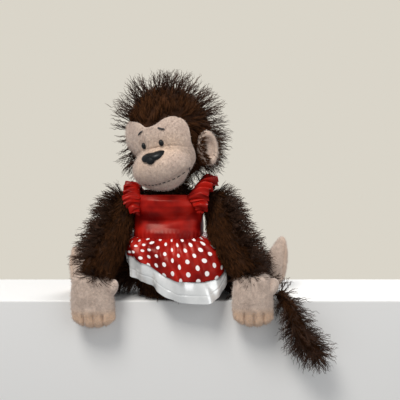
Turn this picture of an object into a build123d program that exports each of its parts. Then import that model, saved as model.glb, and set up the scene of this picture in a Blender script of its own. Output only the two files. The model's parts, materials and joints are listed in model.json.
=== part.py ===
from build123d import *
import os
from math import atan2, cos, degrees, radians, sin, sqrt

# A stuffed monkey sitting with its legs spread, its hands and tail hanging in front of the seat.
# Millimetres; Z is up, the toy faces -Y, and left and right are the toy's own sides (left is +X).
# The origin is the middle of the flat seat under the body.

os.makedirs("parts", exist_ok=True)

# --- driving dimensions ---
cloth = 1.2                 # thickness of the fur and plush fabrics
satin = 0.9                 # thickness of the dress layers
gap = 0.3                   # clearance between soft pieces
thread = 0.5                # radius of the embroidery thread

seat_radius = 33.0          # flat underside of the body
belly_radius = 36.0
belly_height = 20.0
waist_radius = 30.0
waist_height = 62.0
chest_radius = 29.0
chest_height = 86.0
shoulder_radius = 23.0      # where the body rounds in towards the neck
shoulder_height = 101.0
body_top = 105.0

pellet_radius = 24.0        # the bag of plastic pellets that weighs the seat down
pellet_height = 14.0

neck_ball = 14.0
neck_centre = Vector(2, 2, 110)

head_centre = Vector(3, 0, 160)
head_turn = -30.0           # the head looks towards the toy's right
head_roll = -10.0           # and leans to that side
head_radius = 40.0
head_top = 48.0             # crown above the head's centre
head_bottom = 46.0          # underside below it
head_cap = 34.0             # roundness of the crown and the underside

muzzle_radius = 20.0
muzzle_half_width = 34.0
muzzle_cap = 15.0
muzzle_forward = 26.0
muzzle_drop = 27.0
chin_radius = 10.0
chin_half_width = 20.0
chin_cap = 7.0
chin_forward = 28.0
chin_drop = 41.0
mask_thickness = 2.4

eye_radius = 3.2
eye_spacing = 19.5
eye_drop = 8.4
eye_stem = 1.2
washer_radius = 4.5
washer_thickness = 1.4
nose_half_width = 10.5
nose_radius = 5.5
nose_cap = 4.5
nose_drop = 18.5

ear_radius = 17.0
ear_reach = 10.5
ear_thickness = 5.0
ear_sweep = 37.0            # degrees that an ear leans back from straight out
ear_forward = 6.0           # degrees that its root lies forward of the side
ear_drop = 19.0

shoulder_ball = 15.0
shoulder_centre = Vector(44, -2, 96)
arm_start_radius = 13.0
elbow_radius = 16.0
wrist_radius = 17.0
hand_ball = 11.5
elbow = {"left": Vector(63, -25, 60), "right": Vector(-60, -25, 60)}
wrist = {"left": Vector(76, -46, 31), "right": Vector(-68, -47, 30)}
palm_half_width = 18.5
palm_thickness = 22.0
hand_start = 12.0           # from the wrist to the palm
hand_length = 50.0          # from the wrist to the fingertips
palm_corner = 14.0
palm_edge = 9.0             # roundness of the palm's edges
thumb_radius = 7.5
thumb_place = Vector(17.5, 1, -17)

hip_ball = 14.0
hip_centre = Vector(35, 0, 32)
leg_start_radius = 12.5
leg_end_radius = 14.5
ankle_ball = 10.5
ankle = {"left": Vector(97, 6, 27), "right": Vector(-89, 5, 17)}
foot_radius = 12.5
foot_half_length = 24.0
foot_cap = 9.5
foot_rise = 9.0             # the foot's middle above the ankle
foot_reach = 13.0           # and beyond it, away from the body
foot_forward = 4.0

tail_radius = 7.5
tail_tip_radius = 9.0
tail_neck_radius = 5.6      # at its two soft bends
tail_ball = 6.0
tail_floor = 1.0            # the tail's underside above the seat plane

skirt_hem_radius = 51.0
skirt_hem_height = 24.0
petticoat_hem_height = 3.0
petticoat_hem_radius = 55.0
back_hem_radius = 41.0
back_hem_height = 20.0
skirt_lap = -16.0           # the front panel lies in front of this y
neckline_height = 101.0
strap_width = 10.0
strap_place = 19.0          # from the middle of the body

SIDES = {"left": 1, "right": -1}


def save(piece, label):
    piece.label = label
    export_step(piece, f"parts/{label}.step")


def mirrored(point, side):
    return Vector(point.X * SIDES[side], point.Y, point.Z)


def shell(shape, thickness=cloth):
    """The fabric of a stuffed part: shape(inset) gives its solid, inset all round."""
    return shape(0) - shape(thickness)


def ball(centre, radius):
    with BuildPart() as solid:
        with Locations(Location(centre, (20, 35, 50))):
            Sphere(radius)
    return solid.part


def tapered(start, end, first, last):
    """A straight round length from start to end."""
    upright = (Align.CENTER, Align.CENTER, Align.MIN)
    with BuildPart(Plane(origin=start, z_dir=end - start)) as solid:
        if abs(first - last) < 0.01:
            Cylinder(first, (end - start).length, align=upright)
        else:
            Cone(first, last, (end - start).length, align=upright)
    return solid.part


def limb(points, radii):
    """Tapered rounds joined end to end along the points, with a knuckle at each turn."""
    pieces = [tapered(*stretch) for stretch in zip(points, points[1:], radii, radii[1:])]
    for before, centre, after, radius in zip(points, points[1:], points[2:], radii[1:]):
        if (centre - before).get_angle(after - centre) > 1:
            pieces.append(ball(centre, radius + 0.4))
    solid = pieces[0]
    for piece in pieces[1:]:
        solid = solid + piece
    return solid


def turned(points, start, end):
    """A solid of revolution about Z whose outline is a curve through the (radius, height) points."""
    with BuildPart() as solid:
        with BuildSketch(Plane.XZ):
            with BuildLine():
                Spline(*points, tangents=(start, end))
                Polyline(points[-1], (0, points[-1][1]), (0, points[0][1]), points[0])
            make_face()
        revolve(axis=Axis.Z)
    return solid.part


def egg(radius, top, bottom, cap):
    """A closed round about Z: a ball-shaped cap at each end, and a flatter arc between them."""
    with BuildPart() as solid:
        with BuildSketch(Plane.XZ):
            with BuildLine():
                for height, way in ((top, 1), (bottom, -1)):
                    rise = height - cap
                    flat = (radius**2 + rise**2 - cap**2) / (2 * (radius - cap))
                    turn = degrees(atan2(rise, flat - radius))
                    CenterArc((radius - flat, 0), flat, 0, way * turn)
                    CenterArc((0, way * rise), cap, way * turn, way * (90 - turn))
                Line((0, top), (0, -bottom))
            make_face()
        revolve(axis=Axis.Z)
    return solid.part


# --- places on the head, in its own frame: X to the toy's left, -Y to the front, Z to the crown ---
head_place = Location(head_centre) * Rot(0, 0, head_turn) * Rot(0, head_roll, 0)
head_plane = Plane(head_place)
muzzle_centre = Vector(0, -muzzle_forward, -muzzle_drop)
chin_centre = Vector(0, -chin_forward, -chin_drop)


def skull(inset):
    return egg(head_radius - inset, head_top - inset, head_bottom - inset, head_cap - inset)


def bolster(centre, half_width, radius, cap):
    """A rounded roll lying along X."""
    return Pos(centre) * Rot(0, 90, 0) * egg(radius, half_width, half_width, cap)


def muzzle_shape(grow=0.0):
    return bolster(muzzle_centre, muzzle_half_width + grow, muzzle_radius + grow, muzzle_cap + grow)


def chin_shape(grow=0.0):
    return bolster(chin_centre, chin_half_width + grow, chin_radius + grow, chin_cap + grow)


def front_rod(x, z, radius, near, far):
    """A round bar along Y at (x, z), from y = near back to y = far."""
    with BuildPart() as solid:
        with BuildSketch(Plane.XZ.offset(-far)):
            with Locations((x, z)):
                Circle(radius)
        extrude(amount=far - near)
    return solid.part


def depth_at(x, z):
    """How far forward the skull's surface lies beside the point (x, z) of the face."""
    ring = head_radius * sqrt(max(0.0, 1 - (z / head_top) ** 2))
    return -sqrt(max(0.0, ring**2 - x**2))


neck_dish = Pos(neck_centre) * Sphere(neck_ball + gap)
neck_dish_local = head_place.inverse() * neck_dish


def head_shape(inset):
    dish = head_place.inverse() * Pos(neck_centre) * Sphere(neck_ball + gap + inset)
    return skull(inset) - dish


# --- head ---
eye_places = {name: (side * eye_spacing / 2, -eye_drop) for name, side in SIDES.items()}
nose_front = -muzzle_forward - muzzle_radius
eye_skin = {name: depth_at(*place) for name, place in eye_places.items()}
stems = [front_rod(x, z, eye_stem + gap, -70, -20) for x, z in eye_places.values()]
stems += [front_rod(0, -nose_drop, eye_stem + gap, -70, -20)]
pockets = [front_rod(x, z, washer_radius + gap, -40, -24) for x, z in eye_places.values()]
pockets += [front_rod(0, -nose_drop, washer_radius + gap, -40, -24)]

head_skin = shell(head_shape)
head_filling = head_shape(cloth + gap)
for stem in stems:
    head_skin = head_skin - stem
    head_filling = head_filling - stem
for pocket in pockets:
    head_filling = head_filling - pocket
save(head_place * head_skin, "head_skin")
save(head_place * head_filling, "head_filling")

with BuildPart() as mask_outline:
    with BuildSketch(Plane.XZ.offset(10)):
        with Locations((-17, 1), (17, 1)):
            Circle(15.5)
        with Locations((0, -9)):
            Ellipse(31, 16)
    extrude(amount=60)
mask = (skull(-gap - mask_thickness) - skull(-gap)) & mask_outline.part
mask = mask - muzzle_shape(gap)
muzzle = muzzle_shape() - skull(-gap)
chin = chin_shape() - skull(-gap) - muzzle_shape(gap)
for stem in stems:
    mask = mask - stem
    muzzle = muzzle - stem
chin = chin - neck_dish_local
muzzle = muzzle - neck_dish_local
save(head_place * mask, "face_mask")
save(head_place * muzzle, "muzzle")
save(head_place * chin, "chin")

for name, (x, z) in eye_places.items():
    face = eye_skin[name] - mask_thickness - 2 * gap
    bead = Pos(x, face, z) * Sphere(eye_radius)
    bead = bead - (skull(-2 * gap - mask_thickness))
    stem = front_rod(x, z, eye_stem, face, -30)
    save(head_place * (bead + stem), f"eye_{name}")
    washer = front_rod(x, z, washer_radius, -32, -32 + washer_thickness)
    washer = washer - front_rod(x, z, eye_stem + 0.05, -60, -20)
    save(head_place * washer, f"eye_washer_{name}")

nose_bead = bolster(Vector(0, nose_front + 1.0, -nose_drop), nose_half_width, nose_radius, nose_cap)
nose_bead = nose_bead - muzzle_shape(gap) - skull(-gap - mask_thickness)
nose = nose_bead + front_rod(0, -nose_drop, eye_stem, nose_front, -30)
save(head_place * nose, "nose")
nose_washer = front_rod(0, -nose_drop, washer_radius, -32, -32 + washer_thickness)
nose_washer = nose_washer - front_rod(0, -nose_drop, eye_stem + 0.05, -60, -20)
save(head_place * nose_washer, "nose_washer")


def stitch(start, end):
    """One straight stitch of embroidery thread."""
    with BuildPart() as solid:
        with BuildSketch(Plane(origin=start, z_dir=end - start)):
            Circle(thread)
        extrude(amount=(end - start).length)
    return solid.part


def bulge(centre, half_width, radius, x, z):
    """How far forward a bolster's surface lies at (x, z)."""
    ring = radius * sqrt(max(0.0, 1 - (x / half_width) ** 2))
    return centre.Y - sqrt(max(0.0, ring**2 - (z - centre.Z) ** 2))


def on_muzzle(x, z):
    """The point of the lower face at (x, z), just proud of the plush."""
    muzzle_front = bulge(muzzle_centre, muzzle_half_width, muzzle_radius, x, z)
    chin_front = bulge(chin_centre, chin_half_width, chin_radius, x, z)
    return Vector(x, min(muzzle_front, chin_front) - thread - gap, z)


smile_radius = 25.0
smile_height = -20.0
smile_steps = [radians(angle) for angle in range(-130, -49, 10)]
smile = [on_muzzle(smile_radius * cos(a), smile_height + smile_radius * sin(a)) for a in smile_steps]
smile_stitches = [stitch(a + (b - a) * 0.15, a + (b - a) * 0.85) for a, b in zip(smile, smile[1:])]
save(head_place * Compound(smile_stitches), "mouth_stitches")

brows = []
for side in SIDES.values():
    ends = [(side * 7.0, 6.5), (side * 14.0, 3.5)]
    inner, outer = [Vector(x, depth_at(x, z) - mask_thickness - 1.4, z) for x, z in ends]
    brows.append(stitch(inner, outer))
save(head_place * Compound(brows), "eyebrow_stitches")

# --- ears, each turning on the round edge where it is sewn to the head ---
ear_roots = {}
for name, side in SIDES.items():
    sweep, forward = radians(ear_sweep), radians(ear_forward)
    root_radius = head_radius + ear_thickness / 2 + 2 * gap
    root = Vector(side * root_radius * cos(forward), -root_radius * sin(forward), -ear_drop)
    ear_roots[name] = root
    out = Vector(side * cos(sweep), sin(sweep), 0)
    ear_plane = Plane(origin=root, x_dir=out, z_dir=Vector(sin(sweep), -side * cos(sweep), 0) * side)
    half = ear_thickness / 2
    with BuildPart() as ear:
        with BuildSketch(ear_plane):
            with Locations((ear_reach - ear_radius, 0)):
                Circle(ear_radius)
            with Locations((-ear_radius, 0)):
                Rectangle(2 * ear_radius, 4 * ear_radius, mode=Mode.SUBTRACT)
        extrude(amount=half, both=True)
        with BuildSketch(Plane(origin=root - Vector(0, 0, ear_radius * 0.8))):
            Circle(half)
        extrude(amount=ear_radius * 1.6)
    with BuildPart() as hollow:
        with BuildSketch(ear_plane.offset(half - 1.2)):
            with Locations((ear_reach - ear_radius, 0)):
                Circle(ear_radius - 4.5)
            with Locations((-ear_radius + 2.5, 0)):
                Rectangle(2 * ear_radius, 4 * ear_radius, mode=Mode.SUBTRACT)
        extrude(amount=4)
    lining = hollow.part & ear.part
    save(head_place * (ear.part - hollow.part), f"ear_{name}")
    save(head_place * lining, f"ear_lining_{name}")


# --- body ---
def torso_outline(inset):
    points = (
        (seat_radius - inset, inset),
        (belly_radius - inset, belly_height),
        (waist_radius - inset, waist_height),
        (chest_radius - inset, chest_height),
        (shoulder_radius - inset, shoulder_height),
        (neck_ball + 1, body_top - inset),
    )
    return turned(points, (1, 1), (-1, 0.1))


limb_joints = [(mirrored(shoulder_centre, side), shoulder_ball) for side in SIDES]
limb_joints += [(mirrored(hip_centre, side), hip_ball) for side in SIDES]
seam_space = 2 * gap + cloth        # between a limb's ball and the body, for the sewn seam


def socket_cuts(inset):
    return [ball(centre, radius + seam_space + gap + inset) for centre, radius in limb_joints]


def torso(inset):
    return torso_outline(inset) - socket_cuts(inset)


pellet_pocket = Pos(0, 0, 2 * gap + cloth + pellet_height / 2) * Cylinder(pellet_radius + gap, pellet_height + gap)
save(shell(torso), "torso_skin")
save(torso(cloth + gap) - pellet_pocket, "torso_filling")
save(Pos(0, 0, 2 * gap + cloth + pellet_height / 2) * Cylinder(pellet_radius, pellet_height - gap), "pellet_bag")

neck_cut = Pos(neck_centre.X, neck_centre.Y, body_top + gap - 50) * Box(200, 200, 100)
save(ball(neck_centre, neck_ball) - neck_cut, "neck_gusset")


# --- arms and legs ---
def seam(centre, radius, towards, reach):
    """The sewn seam round the back of a limb's ball: a shallow fabric dish."""
    dish = ball(centre, radius + gap + cloth) - ball(centre, radius + gap)
    return split(dish, bisect_by=Plane(origin=centre + towards * reach, z_dir=towards), keep=Keep.TOP)


def arm(name, inset):
    joint, bend, end = mirrored(shoulder_centre, name), elbow[name], wrist[name]
    back = (end - bend).normalized() * (4 + inset)
    radii = [radius - inset for radius in (arm_start_radius, elbow_radius, wrist_radius)]
    return limb([joint, bend, end - back], radii) + ball(joint, shoulder_ball - inset) - ball(
        end, hand_ball + gap + inset
    )


def hand(name, inset):
    middle = wrist[name] - Vector(0, 0, hand_start + hand_length / 2 - hand_start / 2)
    length = hand_length - hand_start
    with BuildPart() as solid:
        with BuildSketch(Plane(origin=middle, x_dir=(1, 0, 0), z_dir=(0, -1, 0))):
            RectangleRounded(2 * (palm_half_width - inset), length - 2 * inset, palm_corner - inset)
        extrude(amount=palm_thickness / 2 - inset, both=True)
        fillet(solid.edges().group_by(Axis.Y)[0], palm_edge - inset)
        fillet(solid.edges().group_by(Axis.Y)[-1], palm_edge - inset)
        with Locations(wrist[name]):
            Sphere(hand_ball - inset)
        with BuildSketch(Plane(origin=wrist[name], z_dir=(0, 0, -1))):
            Circle(hand_ball - 2 - inset)
        extrude(amount=hand_start + 6)
        with Locations(wrist[name] + thumb_place):
            Sphere(thumb_radius - inset)
    return solid.part


def leg(name, inset):
    joint, end = mirrored(hip_centre, name), ankle[name]
    back = (end - joint).normalized() * (3 + inset)
    radii = [leg_start_radius - inset, leg_end_radius - inset]
    return limb([joint, end - back], radii) + ball(joint, hip_ball - inset) - ball(
        end, ankle_ball + gap + inset
    )


def foot(name, inset):
    middle = ankle[name] + Vector(SIDES[name] * foot_reach, foot_forward, foot_rise)
    sole = egg(foot_radius - inset, foot_half_length - inset, foot_half_length - inset, foot_cap - inset)
    return Pos(middle) * Rot(0, 0, 90) * sole + ball(ankle[name], ankle_ball - inset)


for name, side in SIDES.items():
    shoulder, hip = mirrored(shoulder_centre, name), mirrored(hip_centre, name)
    save(seam(shoulder, shoulder_ball, Vector(-0.8 * side, 0.3, 0.5).normalized(), 8), f"shoulder_seam_{name}")
    save(seam(hip, hip_ball, Vector(-side, 0, 0), 7), f"hip_seam_{name}")
    for label, shape in (("arm", arm), ("hand", hand), ("leg", leg), ("foot", foot)):
        save(shape(name, 0) - shape(name, cloth), f"{label}_skin_{name}")
        save(shape(name, cloth + gap), f"{label}_filling_{name}")
    tips = wrist[name].Z - hand_length
    front = wrist[name].Y - palm_thickness / 2 - thread - gap
    lines = [
        stitch(Vector(wrist[name].X + x, front, tips + palm_edge), Vector(wrist[name].X + x, front, tips + 22))
        for x in (-8, 0, 8)
    ]
    save(Compound(lines), f"finger_stitches_{name}")

# --- tail, in three lengths ---
tail_low = tail_floor + tail_radius
tail_bends = {"root": Vector(67, -20, tail_low), "edge": Vector(106, -28, tail_low)}
tail_start = [Vector(18, 24, 10), Vector(36, 34, tail_low), Vector(52, 23, tail_low), Vector(58, 0, tail_low)]
tail_end = [Vector(116, -42, -4), Vector(126, -48, -27), Vector(141, -53, -48)]


def tail_length(points, bend_at_start, bend_at_end):
    """One length of the tail, with a ball where it bends from the last one and a flat end for the next."""
    points, radii = list(points), [tail_radius] * len(points)
    joint, end = points[0], points[-1]
    if bend_at_end:
        way = (points[-1] - points[-2]).normalized()
        points[-1:] = [end - way * (tail_ball + 6), end - way * (tail_ball + gap)]
        radii.append(tail_neck_radius)
    else:
        radii[-1] = tail_tip_radius
    if bend_at_start:
        way = (points[1] - points[0]).normalized()
        points.insert(1, joint + way * 9)
        radii.insert(0, tail_neck_radius - 0.8)
    length = limb(points, radii)
    if bend_at_start:
        length = length + ball(joint, tail_ball)
    return length if bend_at_end else length + ball(end, tail_tip_radius + 0.3)


tail_base = tail_length([*tail_start, tail_bends["root"]], False, True) - torso_outline(-gap)
save(tail_base, "tail_base")
save(tail_length([tail_bends["root"], Vector(87, -25, tail_low), tail_bends["edge"]], True, True), "tail_middle")
save(tail_length([tail_bends["edge"], *tail_end], True, False), "tail_end")


# --- dress ---
def wrap(inner, outer, low, high):
    """A layer of cloth round the body, between two distances off its surface and two heights."""
    ring = torso_outline(-outer) - torso_outline(-inner)
    middle = (low + high) / 2
    return ring & (Pos(0, 0, middle) * Box(200, 200, high - low))


def cone_layer(top_radius, hem_radius, hem_height):
    """A flaring layer of the skirt, from the waist seam down to its hem."""
    depth = skirt_top - hem_height
    outer = Pos(0, 0, skirt_top - depth / 2) * Cone(hem_radius, top_radius, depth)
    inner = Pos(0, 0, skirt_top - depth / 2) * Cone(hem_radius - satin, top_radius - satin, depth)
    return outer - inner


arm_clearance = socket_cuts(0)[:2]
bodice_inner, bodice_outer = gap, gap + satin
bodice = wrap(bodice_inner, bodice_outer, waist_height + 0.5, neckline_height) - arm_clearance
save(bodice, "dress_bodice")
for name, side in SIDES.items():
    strap_middle = Pos(side * strap_place, 0, neckline_height + gap + 10)
    strap = wrap(bodice_inner, bodice_outer, 0, 150) & (strap_middle * Box(strap_width, 100, 20))
    save(strap - arm_clearance - ball(neck_centre, neck_ball + 2 * gap), f"shoulder_strap_{name}")

band_inner = bodice_outer + gap
save(wrap(band_inner, band_inner + satin, waist_height - 2, waist_height + 3), "waist_band")

closure_cut = Pos(0, 50, (waist_height + neckline_height) / 2) * Box(12, 100, 32)
save(wrap(band_inner, band_inner + satin, waist_height + 3.5, neckline_height) & closure_cut, "closure_tape")

skirt_top = waist_height - 2 - gap
petticoat_top_radius = waist_radius + gap + satin + 0.6
skirt_top_radius = petticoat_top_radius + 2 * satin + 0.4
reach = 200
front_part = Pos(0, skirt_lap - reach / 2, 0) * Box(reach, reach, 2 * reach)
back_part = Pos(0, skirt_lap + gap + reach / 2, 0) * Box(reach, reach, 2 * reach)
thigh_room = hip_ball + 6
leg_arch = [
    Pos(0, hip_centre.Y, hip_centre.Z) * Rot(0, 90, 0) * Cylinder(thigh_room, reach),
    Pos(0, hip_centre.Y, hip_centre.Z - reach / 2) * Box(reach, 2 * thigh_room, reach),
]
for label, top_radius, hem_radius, hem_height in (
    ("skirt_front", skirt_top_radius, skirt_hem_radius, skirt_hem_height),
    ("petticoat_front", petticoat_top_radius, petticoat_hem_radius, petticoat_hem_height),
):
    save(cone_layer(top_radius, hem_radius, hem_height) & front_part, label)
for label, top_radius, hem_radius, hem_height in (
    ("skirt_back", skirt_top_radius, back_hem_radius + 3, back_hem_height),
    ("petticoat_back", petticoat_top_radius, back_hem_radius, back_hem_height - 2),
):
    save((cone_layer(top_radius, hem_radius, hem_height) & back_part) - leg_arch, label)
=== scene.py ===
import json
from functools import partial
from math import radians

import bpy
import numpy as np
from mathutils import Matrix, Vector

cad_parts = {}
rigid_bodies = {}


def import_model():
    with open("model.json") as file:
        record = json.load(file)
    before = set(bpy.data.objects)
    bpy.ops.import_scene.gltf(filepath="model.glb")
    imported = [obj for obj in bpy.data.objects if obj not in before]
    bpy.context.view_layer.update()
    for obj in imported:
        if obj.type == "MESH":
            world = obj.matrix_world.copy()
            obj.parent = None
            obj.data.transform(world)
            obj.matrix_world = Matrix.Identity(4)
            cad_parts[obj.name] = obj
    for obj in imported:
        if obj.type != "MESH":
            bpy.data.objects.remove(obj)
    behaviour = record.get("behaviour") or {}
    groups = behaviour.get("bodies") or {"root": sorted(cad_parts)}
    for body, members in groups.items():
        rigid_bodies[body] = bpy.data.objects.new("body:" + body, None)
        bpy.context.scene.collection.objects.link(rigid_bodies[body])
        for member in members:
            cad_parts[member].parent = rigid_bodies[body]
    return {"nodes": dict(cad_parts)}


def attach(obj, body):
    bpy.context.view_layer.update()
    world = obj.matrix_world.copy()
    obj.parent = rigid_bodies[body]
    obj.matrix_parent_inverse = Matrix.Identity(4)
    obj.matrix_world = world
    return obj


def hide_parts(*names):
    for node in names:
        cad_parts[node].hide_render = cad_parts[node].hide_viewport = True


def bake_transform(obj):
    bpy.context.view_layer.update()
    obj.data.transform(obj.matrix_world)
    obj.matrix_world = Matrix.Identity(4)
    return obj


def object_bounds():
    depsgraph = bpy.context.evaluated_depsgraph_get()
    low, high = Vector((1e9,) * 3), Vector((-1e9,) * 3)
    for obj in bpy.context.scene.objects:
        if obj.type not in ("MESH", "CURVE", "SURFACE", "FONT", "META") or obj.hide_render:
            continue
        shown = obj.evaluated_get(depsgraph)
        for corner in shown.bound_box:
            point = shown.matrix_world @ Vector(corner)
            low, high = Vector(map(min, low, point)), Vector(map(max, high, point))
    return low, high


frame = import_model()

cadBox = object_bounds()
mm = 0.001
# strands stay within the CAD box, grown by a share of each side and a few millimetres more
strandRoom = dict(share=0.03, beyond=8.5)
boxLow, boxHigh = np.array(cadBox[0]) / mm, np.array(cadBox[1]) / mm
roomLow = boxLow - strandRoom["share"] * (boxHigh - boxLow) - strandRoom["beyond"]
roomHigh = boxHigh + strandRoom["share"] * (boxHigh - boxLow) + strandRoom["beyond"]
print("frame loaded:", len(frame["nodes"]), "nodes")


def makePiece(name, points, faceSets, material, values=None, uv=None):
    # points are in millimetres; faceSets is a list of triangle and quad index arrays
    corners = np.concatenate([np.asarray(f).ravel() for f in faceSets]).astype(np.int32)
    sizes = np.concatenate([np.full(len(f), np.asarray(f).shape[1]) for f in faceSets])
    starts = np.concatenate([[0], np.cumsum(sizes)[:-1]]).astype(np.int32)
    mesh = bpy.data.meshes.new(name)
    mesh.vertices.add(len(points))
    mesh.vertices.foreach_set("co", (np.asarray(points, float) * mm).astype(np.float32).ravel())
    mesh.loops.add(len(corners))
    mesh.loops.foreach_set("vertex_index", corners)
    mesh.polygons.add(len(starts))
    mesh.polygons.foreach_set("loop_start", starts)
    mesh.update(calc_edges=True)
    mesh.polygons.foreach_set("use_smooth", np.ones(len(starts), bool))
    for key, value in (values or {}).items():
        attribute = mesh.attributes.new(key, "FLOAT", "POINT")
        attribute.data.foreach_set("value", np.asarray(value, np.float32).ravel())
    if uv is not None:
        layer = mesh.uv_layers.new(name="cloth")
        layer.data.foreach_set("uv", np.asarray(uv, np.float32)[corners].ravel())
    mesh.materials.append(material)
    piece = bpy.data.objects.new(name, mesh)
    bpy.context.scene.collection.objects.link(piece)
    return piece


def gridFaces(rows, columns, closed=True):
    # quads between neighbouring points of a grid, the last column joined to the first when closed
    r = np.arange(rows - 1)[:, None]
    c = np.arange(columns if closed else columns - 1)[None, :]
    n = (c + 1) % columns
    quads = np.stack([r * columns + c, r * columns + n, (r + 1) * columns + n, (r + 1) * columns + c], -1)
    return quads.reshape(-1, 4)


def closeGrid(grid):
    # a tube of rings with a fan over its first and last ring, turned so that it encloses a positive volume
    rows, columns = grid.shape[:2]
    points = np.concatenate([grid.reshape(-1, 3), grid[0].mean(0)[None], grid[-1].mean(0)[None]])
    quads = gridFaces(rows, columns)
    ring = np.arange(columns)
    following = (ring + 1) % columns
    last = (rows - 1) * columns
    fanTop = np.stack([following, ring, np.full(columns, rows * columns)], -1)
    fanEnd = np.stack([last + ring, last + following, np.full(columns, rows * columns + 1)], -1)
    triangles = np.concatenate([fanTop, fanEnd])
    every = np.concatenate([quads[:, [0, 1, 2]], quads[:, [0, 2, 3]], triangles])
    a, b, c = points[every[:, 0]], points[every[:, 1]], points[every[:, 2]]
    if (a * np.cross(b, c)).sum() < 0:
        quads, triangles = quads[:, ::-1], triangles[:, ::-1]
    return points, [quads, triangles]


def unit(v):
    return v / np.maximum(np.linalg.norm(v, axis=-1, keepdims=True), 1e-9)


def gridNormals(grid):
    # cross product of the two directions of a closed grid, pointing away from its middle
    around = np.roll(grid, -1, 1) - np.roll(grid, 1, 1)
    normal = unit(np.cross(around, np.gradient(grid, axis=0)))
    if (normal * (grid - grid.mean((0, 1)))).sum() < 0:
        normal = -normal
    return normal


def fullTurn(count):
    return np.linspace(0, 2 * np.pi, count, endpoint=False)


def poleToPole(count, margin):
    # angles down from the top pole to the bottom one, as a column
    return np.linspace(margin, np.pi - margin, count)[:, None]


def oval(radii, tilt, around):
    # an ellipsoid with its poles up and down
    a, b, c = radii
    x, y = a * np.sin(tilt) * np.cos(around), b * np.sin(tilt) * np.sin(around)
    return np.stack([x, y, c * np.cos(tilt) + 0 * around], -1)


def smoothStep(x, low, high):
    t = np.clip((x - low) / (high - low), 0, 1)
    return t * t * (3 - 2 * t)


def bump(x, y, width):
    return np.exp(-(x * x + y * y) / (2 * width * width))


def alongPath(points, count, ease=False):
    # a Catmull-Rom curve through the points, sampled evenly, or closer together at its ends when eased
    p = np.asarray(points, float)
    p = np.concatenate([2 * p[:1] - p[1:2], p, 2 * p[-1:] - p[-2:-1]])
    s = np.linspace(0, len(points) - 1, 40 * len(points))
    i = np.clip(s.astype(int), 0, len(points) - 2)
    t = (s - i)[:, None]
    a, b, c, d = p[i], p[i + 1], p[i + 2], p[i + 3]
    curve = 0.5 * (2 * b + (c - a) * t + (2 * a - 5 * b + 4 * c - d) * t**2 + (3 * b - a - 3 * c + d) * t**3)
    run = np.concatenate([[0], np.cumsum(np.linalg.norm(np.diff(curve, axis=0), axis=1))])
    want = np.linspace(0, 1, count)
    if ease:
        want = (1 - np.cos(np.pi * want)) / 2
    want = want * run[-1]
    return np.stack([np.interp(want, run, curve[:, k]) for k in range(3)], -1), want


def sweep(points, radii, rows, columns, side=(0, 1, 0), caps=(8, 8)):
    # a round section carried along a path, its radius closing as a half circle at each end
    path, run = alongPath(points, rows, ease=True)
    stations = np.linspace(0, run[-1], len(radii))
    radius = np.interp(run, stations, radii)
    near = np.clip(1 - run / caps[0], 0, 1)
    far = np.clip(1 - (run[-1] - run) / caps[1], 0, 1)
    closing = np.sqrt(np.clip(1 - near**2, 0, 1)) * np.sqrt(np.clip(1 - far**2, 0, 1)) + 0.004
    heading = unit(np.gradient(path, axis=0))
    u = unit(np.cross(np.asarray(side, float), heading))
    v = np.cross(heading, u)
    angle = fullTurn(columns)
    cos, sin = np.cos(angle)[None, :, None], np.sin(angle)[None, :, None]
    size = (radius * closing)[:, None, None]
    grid = path[:, None] + size * sin * v[:, None] + size * cos * u[:, None]
    return grid, np.broadcast_to(heading[:, None], grid.shape)


def turnedZ(points, degrees):
    c, s = np.cos(radians(degrees)), np.sin(radians(degrees))
    x, y, z = points[..., 0], points[..., 1], points[..., 2]
    return np.stack([x * c - y * s, x * s + y * c, z], -1)


def insidePolygon(x, z, polygon):
    # counts how often a line from the point crosses the polygon's edges
    inside = np.zeros(x.shape, bool)
    for (x1, z1), (x2, z2) in zip(polygon, np.roll(polygon, -1, 0)):
        crosses = (z1 > z) != (z2 > z)
        inside ^= crosses & (x < (x2 - x1) * (z - z1) / (z2 - z1 if z2 != z1 else 1e-9) + x1)
    return inside


def newGroup(name, inputs, outputs):
    group = bpy.data.node_groups.new(name, "ShaderNodeTree")
    # inputs are (label, kind, default), outputs (label, kind)
    kinds = {"color": "NodeSocketColor", "value": "NodeSocketFloat"}
    for label, kind, default in inputs:
        socket = group.interface.new_socket(name=label, in_out="INPUT", socket_type=kinds[kind])
        socket.default_value = default
    for label, kind in outputs:
        group.interface.new_socket(name=label, in_out="OUTPUT", socket_type=kinds[kind])
    return group, group.nodes.new("NodeGroupInput"), group.nodes.new("NodeGroupOutput")


def addNode(tree, kind, links=None, **settings):
    # makes a node, sets its properties, and links or sets the inputs named or numbered in links
    node = tree.nodes.new("ShaderNode" + kind)
    for key, value in settings.items():
        setattr(node, key, value)
    for key, value in (links or {}).items():
        if isinstance(value, bpy.types.NodeSocket):
            tree.links.new(value, node.inputs[key])
        else:
            node.inputs[key].default_value = value
    return node


def doMath(tree, operation, a, b=0.0):
    return addNode(tree, "Math", {0: a, 1: b}, operation=operation).outputs[0]


def mathOn(tree):
    # adding, multiplying and subtracting in one node tree
    return [partial(doMath, tree, operation) for operation in ("ADD", "MULTIPLY", "SUBTRACT")]


def noise(tree, where, scale, detail):
    return addNode(tree, "TexNoise", {"Vector": where, "Scale": scale, "Detail": detail}).outputs["Fac"]


def mixColor(tree, factor, a, b):
    node = tree.nodes.new("ShaderNodeMix")
    node.data_type = "RGBA"
    for index, value in ((0, factor), (6, a), (7, b)):
        if isinstance(value, bpy.types.NodeSocket):
            tree.links.new(value, node.inputs[index])
        else:
            node.inputs[index].default_value = value
    return node.outputs[2]


def rgb(r, g, b):
    return (r, g, b, 1.0)


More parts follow.
